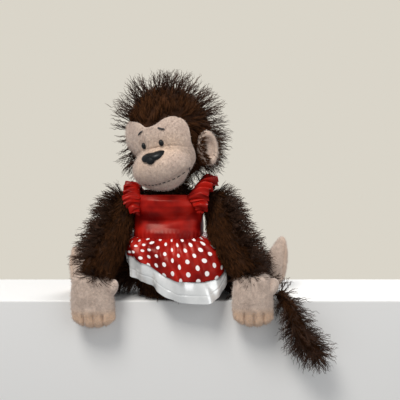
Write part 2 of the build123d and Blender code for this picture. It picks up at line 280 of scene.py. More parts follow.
def buildFurGroup():
    # each strand's colour runs from its root to its tip, and differs from strand to strand by its tint
    group, start, end = newGroup(
        "furStrand",
        [("Root", "color", rgb(0.03, 0.015, 0.01)), ("Tip", "color", rgb(0.1, 0.06, 0.04)),
        ("Spread", "value", 0.5)],
        [("Color", "color"), ("Roughness", "value")])
    add, times, minus = mathOn(group)
    tint = addNode(group, "Attribute", attribute_name="tint").outputs["Fac"]
    along = addNode(group, "Attribute", attribute_name="along").outputs["Fac"]
    base = mixColor(group, along, start.outputs["Root"], start.outputs["Tip"])
    shade = add(times(minus(tint, 0.5), start.outputs["Spread"]), 1.0)
    scaled = addNode(group, "VectorMath", {0: base, "Scale": shade}, operation="SCALE")
    group.links.new(scaled.outputs[0], end.inputs["Color"])
    group.links.new(add(times(tint, 0.2), 0.5), end.inputs["Roughness"])
    return group


def buildPileGroup():
    # short pile: broad noise mixes two shades, fine noise speckles them and gives the height
    group, start, end = newGroup(
        "shortPile",
        [("Light", "color", rgb(0.7, 0.6, 0.55)), ("Shade", "color", rgb(0.5, 0.4, 0.36)),
         ("Warm", "color", rgb(0.7, 0.55, 0.42)), ("Warmth", "value", 0.0)],
        [("Color", "color"), ("Roughness", "value"), ("Height", "value")])
    add, times, _ = mathOn(group)
    where = addNode(group, "TexCoord").outputs["Object"]
    broad = noise(group, where, 90.0, 3.0)
    fine = noise(group, where, 1100.0, 2.0)
    tuft = noise(group, where, 420.0, 2.0)
    patches = addNode(group, "MapRange", {0: broad, 1: 0.38, 2: 0.64}).outputs[0]
    base = mixColor(group, patches, start.outputs["Shade"], start.outputs["Light"])
    base = mixColor(group, start.outputs["Warmth"], base, start.outputs["Warm"])
    speckle = addNode(group, "MapRange", {0: add(fine, tuft), 1: 0.75, 2: 1.3, 3: 0.8, 4: 1.1}).outputs[0]
    scaled = addNode(group, "VectorMath", {0: base, "Scale": speckle}, operation="SCALE")
    group.links.new(scaled.outputs[0], end.inputs["Color"])
    group.links.new(add(times(fine, 0.15), 0.82), end.inputs["Roughness"])
    group.links.new(add(fine, times(tuft, 1.4)), end.inputs["Height"])
    return group


def buildSatinGroup():
    # satin: threads across the cloth give a fine ripple; slow noise clouds the colour with painted shade
    group, start, end = newGroup(
        "satinWeave",
        [("Cloth", "color", rgb(0.6, 0.02, 0.02)), ("PaintedShade", "color", rgb(0.4, 0.01, 0.01)),
        ("Gloss", "value", 0.3)],
        [("Color", "color"), ("Roughness", "value"), ("Height", "value")])
    add, times, minus = mathOn(group)
    uv = addNode(group, "UVMap", uv_map="cloth").outputs["UV"]
    where = addNode(group, "TexCoord").outputs["Object"]
    cloud = noise(group, where, 55.0, 2.0)
    stretch = addNode(group, "Mapping", {"Vector": uv, "Scale": (500.0, 4200.0, 1.0)}).outputs["Vector"]
    floats = noise(group, stretch, 1.0, 1.0)
    # painted shade: where the noise is low the colour turns to the darker copy of the cloth colour
    shadeAmount = addNode(group, "MapRange", {0: cloud, 1: 0.35, 2: 0.65}).outputs[0]
    base = mixColor(group, shadeAmount, start.outputs["PaintedShade"], start.outputs["Cloth"])
    lines = addNode(group, "MapRange", {0: floats, 1: 0.3, 2: 0.7, 3: 0.93, 4: 1.04}).outputs[0]
    scaled = addNode(group, "VectorMath", {0: base, "Scale": lines}, operation="SCALE")
    group.links.new(scaled.outputs[0], end.inputs["Color"])
    rough = add(start.outputs["Gloss"], times(minus(floats, 0.5), 0.16))
    group.links.new(rough, end.inputs["Roughness"])
    group.links.new(floats, end.inputs["Height"])
    return group


def buildDotGroup():
    # round dots in columns, each second column moved down by half a pitch; the mask is 1 inside a dot
    group, start, end = newGroup(
        "printedDots",
        [("Across", "value", 0.0094), ("Down", "value", 0.011), ("Radius", "value", 0.0021)],
        [("Mask", "value")])
    add, times, minus = mathOn(group)
    uv = addNode(group, "UVMap", uv_map="cloth").outputs["UV"]
    parts = addNode(group, "SeparateXYZ", {0: uv})
    across = doMath(group, "DIVIDE", parts.outputs[0], start.outputs["Across"])
    column = doMath(group, "FLOOR", across)
    odd = doMath(group, "MODULO", doMath(group, "ABSOLUTE", column), 2.0)
    down = add(doMath(group, "DIVIDE", parts.outputs[1], start.outputs["Down"]), times(odd, 0.5))
    dx = times(minus(minus(across, column), 0.5), start.outputs["Across"])
    dy = times(minus(doMath(group, "FRACT", down), 0.5), start.outputs["Down"])
    away = doMath(group, "SQRT", add(times(dx, dx), times(dy, dy)))
    edge = addNode(group, "MapRange",
        {0: minus(away, start.outputs["Radius"]), 1: -0.00015, 2: 0.00015, 3: 1.0, 4: 0.0})
    group.links.new(edge.outputs[0], end.inputs["Mask"])
    return group


furGroup, pileGroup = buildFurGroup(), buildPileGroup()
satinGroup, dotGroup = buildSatinGroup(), buildDotGroup()


def newMaterial(name, group, values, bumpHeight=0.0, bumpDistance=0.0004, **uniform):
    # a Principled shader fed by one group; uniform values go straight onto the shader's own sockets
    material = bpy.data.materials.new(name)
    material.use_nodes = True
    tree = material.node_tree
    shader = tree.nodes["Principled BSDF"]
    node = tree.nodes.new("ShaderNodeGroup")
    node.node_tree = group
    for key, value in values.items():
        node.inputs[key].default_value = value
    tree.links.new(node.outputs["Color"], shader.inputs["Base Color"])
    tree.links.new(node.outputs["Roughness"], shader.inputs["Roughness"])
    if bumpHeight and "Height" in node.outputs:
        relief = addNode(tree, "Bump", {"Strength": bumpHeight, "Distance": bumpDistance,
            "Height": node.outputs["Height"]})
        tree.links.new(relief.outputs[0], shader.inputs["Normal"])
    for key, value in uniform.items():
        shader.inputs[key.replace("_", " ")].default_value = value
    return material, tree, shader, node


furColours = dict(
    Root=rgb(0.022, 0.009, 0.004),
    Tip=rgb(0.09, 0.034, 0.012),
    Spread=1.1,
)
furMaterial = newMaterial("brown_fur", furGroup, furColours, Specular_IOR_Level=0.04)[0]
shagMaterial = newMaterial(
    "brown_shag", furGroup, dict(Root=rgb(0.03, 0.013, 0.007), Tip=rgb(0.058, 0.028, 0.016), Spread=1.0),
    Specular_IOR_Level=0.12)[0]

pinkPlush = dict(Light=rgb(0.65, 0.51, 0.42), Shade=rgb(0.5, 0.385, 0.315), Warm=rgb(0.72, 0.475, 0.31))
facePlush = dict(Light=rgb(0.67, 0.525, 0.43), Shade=rgb(0.55, 0.42, 0.35), Warm=rgb(0.7, 0.51, 0.37))


def plushMaterial(name, colours, sheen=0.35, specular=0.2):
    material, tree, shader, node = newMaterial(
        name, pileGroup, colours, bumpHeight=0.55, bumpDistance=0.0005,
        Sheen_Weight=sheen, Sheen_Roughness=0.5, Specular_IOR_Level=specular)
    warmth = addNode(tree, "Attribute", attribute_name="warmth")
    tree.links.new(warmth.outputs["Fac"], node.inputs["Warmth"])
    return material


handMaterial = plushMaterial("pink_plush", pinkPlush)
faceMaterial = plushMaterial("face_plush", facePlush)
skinMaterial = plushMaterial(
    "brown_backing", dict(Light=rgb(0.045, 0.019, 0.009), Shade=rgb(0.02, 0.009, 0.005),
    Warm=rgb(0.06, 0.03, 0.02)),
    sheen=0.0, specular=0.05)
fuzzMaterial = newMaterial(
    "pile_tips", furGroup, dict(Root=rgb(0.52, 0.4, 0.33), Tip=rgb(0.7, 0.56, 0.465), Spread=0.25),
    Sheen_Weight=0.3, Specular_IOR_Level=0.2)[0]

# the second, darker red is painted shade that the satin's noise clouds in, on the bodice, frills and skirt
redSatin = dict(Cloth=rgb(0.42, 0.01, 0.005), PaintedShade=rgb(0.17, 0.002, 0.002), Gloss=0.34)
redMaterial = newMaterial(
    "red_satin", satinGroup, redSatin, bumpHeight=0.12, bumpDistance=0.0002,
    Specular_IOR_Level=0.27, Anisotropic=0.5, Specular_Tint=rgb(1.0, 0.55, 0.45))[0]
# the grey second colour of the white satin is painted shade, clouded in by the satin's noise
whiteMaterial = newMaterial(
    "white_satin", satinGroup, dict(Cloth=rgb(0.9, 0.9, 0.88), PaintedShade=rgb(0.74, 0.75, 0.74), Gloss=0.2),
    bumpHeight=0.12, bumpDistance=0.0002, Specular_IOR_Level=0.6, Metallic=0.35, Anisotropic=0.4)[0]
dottedMaterial, dottedTree, dottedShader, dottedNode = newMaterial(
    "dotted_satin", satinGroup, redSatin, bumpHeight=0.12, bumpDistance=0.0002,
    Specular_IOR_Level=0.27, Anisotropic=0.5, Specular_Tint=rgb(1.0, 0.6, 0.5))
dots = dottedTree.nodes.new("ShaderNodeGroup")
dots.node_tree = dotGroup
dottedTree.links.new(
    mixColor(dottedTree, dots.outputs["Mask"], dottedNode.outputs["Color"], rgb(0.86, 0.82, 0.8)),
    dottedShader.inputs["Base Color"])

beadMaterial = newMaterial(
    "black_bead", pileGroup, dict(Light=rgb(0.008, 0.009, 0.01), Shade=rgb(0.005, 0.006, 0.007),
    Warm=rgb(0.01, 0.01, 0.01)),
    Coat_Weight=0.08, Coat_Roughness=0.2, Specular_IOR_Level=0.2)[0]
beadMaterial.node_tree.links.remove(
    beadMaterial.node_tree.nodes["Principled BSDF"].inputs["Roughness"].links[0])
beadMaterial.node_tree.nodes["Principled BSDF"].inputs["Roughness"].default_value = 0.42
threadMaterial = newMaterial(
    "black_thread", furGroup, dict(Root=rgb(0.012, 0.01, 0.01), Tip=rgb(0.02, 0.017, 0.016), Spread=0.3),
    Sheen_Weight=0.2)[0]
tanMaterial = newMaterial(
    "tan_thread", furGroup, dict(Root=rgb(0.45, 0.33, 0.27), Tip=rgb(0.5, 0.37, 0.3), Spread=0.3),
    Sheen_Weight=0.2)[0]
print("materials made")


hairLook = dict(rootDepth=0.8, strandTurn=5, lengths=(0.75, 1.15), widths=(0.7, 1.25), tuftTint=0.6,
                leastShare=0.1,
                liftTurns=0.8, lift=0.6)


def plantHair(name, grid, comb, weight, hair, seed, material):
    # tufts of strands rooted at random on a closed grid; each strand leans from the surface normal towards
    # the combing direction by an angle that grows along it, and waves to both sides
    dice = np.random.default_rng(seed)
    normals = gridNormals(grid)
    rows, columns = grid.shape[:2]
    flow = np.asarray(comb, float) - (comb * normals).sum(-1, keepdims=True) * normals
    a, b = grid[:-1], np.roll(grid, -1, 1)[:-1]
    c = np.roll(grid, -1, 1)[1:]
    area = np.linalg.norm(np.cross(b - a, c - a), axis=-1)
    want = (area * weight[:-1]).ravel()
    tufts = hair["count"] // hair["tuft"]
    cell = dice.choice(len(want), tufts, p=want / want.sum())
    r, k = cell // columns, cell % columns
    s, t = dice.random((2, tufts, 1))

    def between(field):
        n = (k + 1) % columns
        return ((1 - s) * ((1 - t) * field[r, k] + t * field[r, n])
            + s * ((1 - t) * field[r + 1, k] + t * field[r + 1, n]))

    root, normal, lean = between(grid), unit(between(normals)), unit(between(flow))
    across = np.cross(normal, lean)
    swirl = dice.normal(0, hair["swirl"], (tufts, 1))
    lean = lean * np.cos(swirl) + across * np.sin(swirl)
    across = np.cross(normal, lean)
    tuftLength = dice.uniform(*hair["length"], (tufts, 1))
    tuftLay = dice.normal(0, hair["layJitter"], (tufts, 1))
    tuftTint = dice.random((tufts, 1))
    per = hair["tuft"]
    count = tufts * per
    root, normal, lean, across = (np.repeat(v, per, 0) for v in (root, normal, lean, across))
    length = np.repeat(tuftLength, per, 0) * dice.uniform(*hairLook["lengths"], (count, 1))
    lay = np.radians(np.repeat(tuftLay, per, 0) + dice.normal(0, hairLook["strandTurn"], (count, 1)))
    offset = dice.normal(0, hair["spread"], (count, 2, 1))
    levels = hair["levels"]
    share = np.arange(levels + 1) / levels
    first, final = np.radians(hair["lay"])
    angle = (first + (final - first) * share)[None, :, None] + lay[:, None]
    heading = np.cos(angle) * normal[:, None] + np.sin(angle) * lean[:, None]
    step = length[:, None] / levels
    steps = heading * step
    path = root[:, None] - hairLook["rootDepth"] * normal[:, None] + np.cumsum(steps, 1) - steps
    gather = 1 - hair["converge"] * share[None, :, None]
    path += offset[:, :1] * lean[:, None] * gather + offset[:, 1:] * across[:, None] * gather
    phase = np.repeat(dice.uniform(0, 2 * np.pi, (tufts, 2, 1)), per, 0)
    phase = phase + dice.normal(0, hair["fray"], (count, 2, 1))
    rise, turns = share[None, :, None], 2 * np.pi * hair["waves"]
    wave = hair["kink"] * np.sin(turns * rise + phase[:, :1]) * rise
    lift = hair["kink"] * np.sin(turns * hairLook["liftTurns"] * rise + phase[:, 1:]) * rise
    path += wave * across[:, None] + hairLook["lift"] * lift * normal[:, None]
    path[..., 2] -= hair["droop"] * length * share[None, :] ** 2
    # a strand that would leave the room shrinks towards its root
    high = (roomHigh - root) / np.maximum(path.max(1) - root, 1e-6)
    low = (root - roomLow) / np.maximum(root - path.min(1), 1e-6)
    shrink = np.clip(np.minimum(high, low).min(-1), hairLook["leastShare"], 1)[:, None, None]
    path = root[:, None] + (path - root[:, None]) * shrink
    thinning = (1 - share[None, :-1]) ** hair["taper"]
    width = hair["width"] * dice.uniform(*hairLook["widths"], (count, 1)) * thinning
    turn = dice.uniform(0, 2 * np.pi, (count, 1, 1))
    corner = turn + np.array([0, 2, 4])[None, None, :] * np.pi / 3
    ringU, ringV = across[:, None, None], np.cross(heading[:, :-1], across[:, None])[:, :, None]
    ring = np.cos(corner)[..., None] * ringU + np.sin(corner)[..., None] * ringV
    rings = path[:, :-1, None] + width[:, :, None, None] * ring
    points = np.concatenate([rings.reshape(count, -1, 3), path[:, -1:]], 1)
    one = 3 * levels + 1
    quads = gridFaces(levels, 3)
    last = 3 * levels
    ends = np.array([[last - 3, last - 2, last], [last - 2, last - 1, last], [last - 1, last - 3, last],
        [2, 1, 0]])
    starts = np.arange(count)[:, None, None] * one
    tuftShare = hairLook["tuftTint"]
    tint = np.repeat(tuftTint, per, 0) * tuftShare + dice.random((count, 1)) * (1 - tuftShare)
    tint = np.repeat(tint, one, 1)
    along = np.broadcast_to(np.append(np.repeat(share[:-1], 3), 1.0)[None], (count, one))
    faces = [(starts + quads[None]).reshape(-1, 4), (starts + ends[None]).reshape(-1, 3)]
    return makePiece(name, points.reshape(-1, 3), faces, material, dict(tint=tint, along=along))


def place(piece, body, slot, replaced=()):
    # the piece moves with one body and stands in for the CAD nodes named
    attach(piece, body)
    if replaced:
        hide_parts(*replaced)


def even(grid):
    return np.ones(grid.shape[:2])


coat = dict(tuft=5, spread=0.8, length=(8, 13), lay=(66, 87), layJitter=4, swirl=0.16,
            levels=3, converge=0.5, kink=0.35, waves=0.8, fray=2.0, droop=0.02, width=0.25, taper=0.6)
shag = dict(tuft=3, spread=0.14, length=(14, 22), lay=(8, 30), layJitter=15, swirl=0.7,
            levels=9, converge=-4.5, kink=1.6, waves=3.6, fray=0.5, droop=0.02, width=0.31, taper=0.2)
pile = dict(tuft=1, spread=0.0, length=(2.0, 3.2), lay=(20, 55), layJitter=16, swirl=1.5,
            levels=2, converge=0.0, kink=0.2, waves=1.0, fray=1.0, droop=0.0, width=0.15, taper=0.6)


def furry(label, body, grid, comb, coatWeight, shagWeight, replaced, coatCount, shagCount, seed,
        coatExtra=None, shagExtra=None):
    # the brown backing cloth, its dense combed coat and the long loose shag, all riding on one body
    points, faces = closeGrid(grid)
    backing = makePiece(f"{label}_backing", points, faces, skinMaterial, dict(warmth=np.zeros(len(points))))
    place(backing, body, "fur", replaced)
    sets = [("coat", coatWeight, {**coat, "count": coatCount, **(coatExtra or {})}, furMaterial),
            ("shag", shagWeight, {**shag, "count": shagCount, **(shagExtra or {})}, shagMaterial)]
    for number, (kind, weight, hair, material) in enumerate(sets):
        if hair["count"]:
            strands = plantHair(f"{label}_{kind}", grid, comb, weight, hair, seed + number, material)
            place(strands, body, "fur")
    print("fur:", label)


def plushPiece(name, body, points, faces, material, replaced, warmth):
    # a stuffed form in short-pile cloth
    piece = makePiece(name, points, faces, material, dict(warmth=warmth))
    place(piece, body, "plush", replaced)


def fuzz(name, body, grid, count, seed, weight=None):
    # short pile all over a pale form, combed downwards
    field = np.broadcast_to(np.array([0.0, 0.0, -1.0]), grid.shape)
    weight = even(grid) if weight is None else weight
    place(plantHair(name, grid, field, weight, {**pile, "count": count}, seed, fuzzMaterial), body, "plush")


head = dict(centre=(3.0, 0.0, 160.0), turn=-30.0, roll=-14.0, radius=38.0, top=45.0, bottom=42.0,
    furShift=(-3.5, 1.0, 0.0))


def headToRow(points, roll=None):
    # roll about Y, turn about Z, then move to the head's centre
    r = radians(head["roll"] if roll is None else roll)
    x, y, z = points[..., 0], points[..., 1], points[..., 2]
    rolled = np.stack([x * np.cos(r) + z * np.sin(r), y, -x * np.sin(r) + z * np.cos(r)], -1)
    return turnedZ(rolled, head["turn"]) + np.array(head["centre"])


def headVector(v):
    return headToRow(np.asarray(v, float)) - np.array(head["centre"])


# the edge of the pale face as it runs over the skull, from the cheek up and round
faceEdge = np.array([
    (31, -23, -7), (32.2, -24, 2), (30.5, -27, 9.5), (24, -32, 13), (16.5, -36.5, 12), (9.5, -39, 8.5),
    (2, -40, 7.5),
    (-4, -40, 9), (-9.5, -38, 13.5), (-16.5, -35, 17.5), (-24, -30, 19.5), (-32, -23, 19), (-37, -17, 12),
    (-38, -15, 2), (-37, -15, -8), (-34, -16, -15.5), (-33, -15, -22), (-32, -13, -30), (-29, -13, -38),
    (-22, -17, -44), (-12, -20, -47), (0, -21, -48), (10, -21, -48), (21, -18, -46), (27.8, -15, -40),
    (29.6, -14, -32), (27.6, -18, -23), (28.4, -22, -15)], float)
faceCentre = np.array([0.0, -22.0, -20.0])
faceLook = dict(
    skull=(40.6, 40.6, 47.5), muzzleAt=(-3.2, -26.0, -31.0), muzzle=(29.6, 23.0, 20.5),
    eyes=((-9.9, -7.6), (9.9, -9.2)), browPuff=2.2, cheekPuff=1.4, sidePuff=7.0, chinPuff=1.6,
    brows=((18, 2, 8.5), (-19, 5, 9.5)), cheeks=((15, -27, 10), (-15, -27, 10)),
    eyeDepth=1.3, eyeWidth=3.0, seamDepth=0.9, seamWidth=0.75, smileDepth=1.5, smileWidth=1.7)
seamLines = [
    [(27.6, 10.5), (21, 5), (14.7, -0.5)], [(-6.6, 9), (-7.2, 2), (-7.4, -5)],
    [(12.2, -12.3), (20, -14.2), (29.5, -17.8)], [(-13.4, -10.7), (-22, -12), (-34, -13.5)],
    [(-8.0, -11.2), (0, -11.8), (8.5, -12.2)]]
smileLine = [(-19, -43.2), (-15.3, -44.6), (-9.1, -46), (-1.7, -46.4), (9, -45.6), (15, -44.2), (20, -42),
    (24.2, -39)]


def reachOf(direction, origin, centre, radii):
    # how far along each direction the far side of an ellipsoid lies
    o, d = (origin - np.asarray(centre)) / radii, direction / np.asarray(radii)
    a, b, c = (d * d).sum(-1), (o * d).sum(-1), (o * o).sum() - 1
    return (-b + np.sqrt(np.maximum(b * b - a * c, 0))) / a


def distanceTo(x, z, line):
    # distance in the face's plane to a run of short segments
    best = np.full(x.shape, 1e9)
    for (x1, z1), (x2, z2) in zip(line[:-1], line[1:]):
        dx, dz = x2 - x1, z2 - z1
        t = np.clip(((x - x1) * dx + (z - z1) * dz) / (dx * dx + dz * dz), 0, 1)
        best = np.minimum(best, np.hypot(x - x1 - t * dx, z - z1 - t * dz))
    return best


def faceReach(direction):
    # soft maximum of skull and muzzle, puffed at the brows and cheeks, drawn in at eyes, seams and smile
    skull = reachOf(direction, faceCentre, (0, 0, 0), faceLook["skull"])
    muzzle = reachOf(direction, faceCentre, faceLook["muzzleAt"], faceLook["muzzle"])
    reach = (skull**14 + muzzle**14) ** (1 / 14)
    spot = faceCentre + reach[..., None] * direction
    x, y, z = spot[..., 0], spot[..., 1], spot[..., 2]
    reach = reach + faceLook["browPuff"] * sum(bump(x - a, z - b, wide) for a, b, wide in faceLook["brows"])
    reach = reach + faceLook["cheekPuff"] * sum(bump(x - a, z - b, wide) for a, b, wide in faceLook["cheeks"])
    reach = reach + faceLook["chinPuff"] * bump((x - 2) * 0.5, z + 49.5, 3.6) * (y < -20)
    reach = reach + faceLook["sidePuff"] * smoothStep(-x, 18, 36) * smoothStep(z, -16, -2)
    for ex, ez in faceLook["eyes"]:
        reach = reach - faceLook["eyeDepth"] * bump(x - ex, z - ez, faceLook["eyeWidth"])
    front = y < -12
    for line in seamLines:
        groove = np.exp(-(distanceTo(x, z, line) / faceLook["seamWidth"]) ** 2)
        reach = reach - faceLook["seamDepth"] * groove * front
    smile = np.exp(-(distanceTo(x, z, smileLine) / faceLook["smileWidth"]) ** 2)
    reach = reach - faceLook["smileDepth"] * smile * front
    return reach


def faceGrid(rows=130, columns=220):
    # directions fan out from the nose to the edge; three more rings tuck the cloth in under the fur
    edge, _ = alongPath(np.concatenate([faceEdge, faceEdge[:1]]), columns + 1)
    edge = edge[:-1]
    rim = unit(edge - faceCentre)
    ahead = np.array([0.0, -1.0, 0.0])
    limit = np.arccos(np.clip(rim @ ahead, -1, 1))
    sidewise = unit(rim - (rim @ ahead)[:, None] * ahead)
    t = np.linspace(0.004, 1, rows)[:, None, None]
    turn = t * limit[None, :, None]
    direction = np.cos(turn) * ahead + np.sin(turn) * sidewise[None]
    body = faceCentre + faceReach(direction)[..., None] * direction
    last = body[-1]
    tucks = ((0.8, -0.3), (2.4, 0.2), (9.0, 3.0))
    tucked = [last - unit(last) * depth - sidewise * inward for depth, inward in tucks]
    return np.concatenate([body, np.stack(tucked)])


def faceSpot(x, z):
    # the point of the face in front of (x, z), found by walking the depth to where the surface is
    x, z = np.asarray(x, float), np.asarray(z, float)
    y = np.full(x.shape, -45.0)
    for _ in range(30):
        aim = np.stack([x, y, z], -1) - faceCentre
        size = np.linalg.norm(aim, axis=-1)
        y = y + (faceReach(aim / size[..., None]) / size - 1) * (y - faceCentre[1])
    return np.stack([x, y, z], -1)


def buildHead():
    rows, columns = 70, 110
    tilt = poleToPole(rows, 0.03)
    angle = fullTurn(columns)[None]
    height = np.where(np.cos(tilt) > 0, head["top"], head["bottom"])
    local = oval((head["radius"], head["radius"], height), tilt, angle)
    x, y, z = local[..., 0], local[..., 1], local[..., 2]
    comb = np.stack([0.25 * np.sign(x) * smoothStep(abs(x), 5, 30), 0.55 + 0 * x,
                     1.25 * smoothStep(z, 4, 20) * smoothStep(-y, -20, 15) - 0.8 * smoothStep(-z, -14, 10)],
                     -1)
    behindEdge = 1.07
    bare = insidePolygon(x * behindEdge, z * behindEdge, faceEdge[:, [0, 2]]) & (y < -8)
    weight = np.where(bare, 0.0, 1.0)
    grid = headToRow(local) + np.array(head["furShift"])
    loose = weight * smoothStep(grid[..., 1], -26, -4) * smoothStep(z, -44, -24)
    # the loose hair is thicker beside the cheeks
    beside = 1.2 * smoothStep(abs(grid[..., 0] - head["centre"][0]), 22, 36)
    loose = loose * (1 + beside * smoothStep(-z, -12, 6))
    furry("head", "head", grid, headVector(comb), weight, loose,
          ["head_skin", "head_filling"], coatCount=10400, shagCount=2000, seed=11,
          coatExtra=dict(length=(10, 14), lay=(60, 86)), shagExtra=dict(length=(19, 28)))

    grid = faceGrid()
    points, faces = closeGrid(headToRow(grid))
    flat = np.concatenate([grid.reshape(-1, 3), np.zeros((2, 3))])
    x, z = flat[:, 0], flat[:, 2]
    warmth = 0.75 * bump(x * 0.8, z + 17, 9) + 0.5 * bump(x - 19, z + 12, 7) + 0.45 * bump(x + 19, z + 30, 7)
    plushPiece("face", "head", points, faces, faceMaterial, ["face_mask", "muzzle", "chin"],
        warmth=np.clip(warmth, 0, 1))
    rowsUsed = np.zeros(grid.shape[:2])
    rowsUsed[:-4] = 1
    keep = np.ones(grid.shape[:2])
    for ex, ez in (*faceLook["eyes"], (2.5, -20.5), (-5, -19), (10, -19)):
        keep = np.where(np.hypot(grid[..., 0] - ex, grid[..., 2] - ez) < 3.4, 0, keep)
    fuzz("face_pile", "head", headToRow(grid), count=8500, seed=21, weight=rowsUsed * keep)
    buildFeatures()
    print("head and face made")


noseShape = dict(centre=(1.2, -20.0), rise=4.4)
noseOutline = np.array([(0, 11.6), (14, 11.6), (28, 8.6), (50, 5.2), (75, 4.0), (90, 3.7), (105, 4.0),
                        (130, 5.2), (152, 8.6),
                        (166, 11.6), (180, 11.6), (198, 9.6), (222, 6.6), (245, 6.9), (270, 7.4), (295, 6.9),
                        (318, 6.6), (342, 9.6)], float)


def buildFeatures():
    # nose: a T-shaped bead whose height falls off as a rounded pillow from its middle to its edge
    angle = np.linspace(0, 360, 96, endpoint=False)
    outline = np.interp(angle, np.append(noseOutline[:, 0], 360),
        np.append(noseOutline[:, 1], noseOutline[0, 1]))
    outline = (np.roll(outline, 1) + outline + np.roll(outline, -1)) / 3
    share = np.concatenate([np.sin(np.linspace(0.03, np.pi / 2, 26)), [0.97, 0.9]])
    x = noseShape["centre"][0] + share[:, None] * outline * np.cos(np.radians(angle))
    z = noseShape["centre"][1] + share[:, None] * outline * np.sin(np.radians(angle))
    ground = faceSpot(x, z)
    narrow = outline / outline.max()
    rise = noseShape["rise"] * (1 - np.clip(share, 0, 1)[:, None] ** 2.6) ** 0.5 * (0.62 + 0.38 * narrow)
    rise[-2:] = np.array([-1.0, -2.0])[:, None]
    ground[..., 1] = ground[..., 1] - rise - 0.3
    points, faces = closeGrid(headToRow(ground))
    nose = makePiece("nose_bead", points, faces, beadMaterial)
    place(nose, "head", "nose_bead", ["nose"])

    # eyes: upright oval domes sunk into the pile
    for name, (ex, ez) in zip(("right", "left"), faceLook["eyes"]):
        tilt = poleToPole(22, 0.04)
        around = fullTurn(40)[None]
        middle = faceSpot(np.array([ex]), np.array([ez]))[0]
        bead = np.stack([2.35 * np.sin(tilt) * np.cos(around), -2.3 * np.cos(tilt) + 0 * around,
                         3.1 * np.sin(tilt) * np.sin(around)], -1) + middle + np.array([0, -0.5, 0])
        points, faces = closeGrid(headToRow(bead))
        eye = makePiece(f"eye_bead_{name}", points, faces, beadMaterial)
        place(eye, "head", "eye_bead", [f"eye_{name}"])

    # brows and smile: threads that rise out of the plush and dive back in
    brows = [[(-6.6, 6.4), (-13.4, 3.6)], [(10.0, 5.2), (16.6, 2.0)]]
    sewn("brow_threads", brows, 0.78, 0.55, "eyebrow_stitches")
    line, run = alongPath([(a, 0, b) for a, b in smileLine], 200)
    steps = np.arange(0.5, run[-1] - 2.4, 4.4)
    smile = [[tuple(line[np.searchsorted(run, s)][[0, 2]]),
        tuple(line[min(199, np.searchsorted(run, s + 2.6))][[0, 2]])] for s in steps]
    smile.append([(27.0, -37.0), (24.6, -40.0)])
    sewn("smile_threads", smile, 0.5, 0.35, "mouth_stitches")


def threadTube(path, radius, columns=8):
    # a round thread along a path, thin at its two ends
    heading = unit(np.gradient(path, axis=0))
    u = unit(np.cross(heading, np.array([0.13, -0.9, 0.2])))
    v = np.cross(heading, u)
    angle = fullTurn(columns)
    size = np.full(len(path), radius)
    size[[0, -1]] *= 0.3
    ring = np.cos(angle)[None, :, None] * u[:, None] + np.sin(angle)[None, :, None] * v[:, None]
    return path[:, None] + size[:, None, None] * ring


def joinParts(parts):
    # puts several closed tubes into one list of points and faces
    allPoints, quads, triangles, count = [], [], [], 0
    for grid in parts:
        points, faces = closeGrid(grid)
        allPoints.append(points)
        quads.append(faces[0] + count)
        triangles.append(faces[1] + count)
        count += len(points)
    return np.concatenate(allPoints), [np.concatenate(quads), np.concatenate(triangles)]


def sewn(name, stitches, radius, proud, replaced):
    # each stitch is a thread whose height over the plush is a half sine of its length
    parts = []
    for (x1, z1), (x2, z2) in stitches:
        t = np.linspace(0, 1, 9)
        spot = faceSpot(x1 + (x2 - x1) * t, z1 + (z2 - z1) * t)
        spot[:, 1] -= (radius + proud) * np.sin(np.pi * t) ** 0.6 - 0.5
        parts.append(headToRow(threadTube(spot, radius)))
    points, faces = joinParts(parts)
    along = np.zeros(len(points))
    piece = makePiece(name, points, faces, threadMaterial, dict(tint=along + 0.5, along=along))
    place(piece, "head", "black_thread", [replaced])


earShape = dict(rootRadius=41.0, forward=6.0, drop=19.0, roll=-10.0, sweep=46.0, halfWidth=9.8,
    halfHeight=16.5, thickness=3.2, dish=3.4)


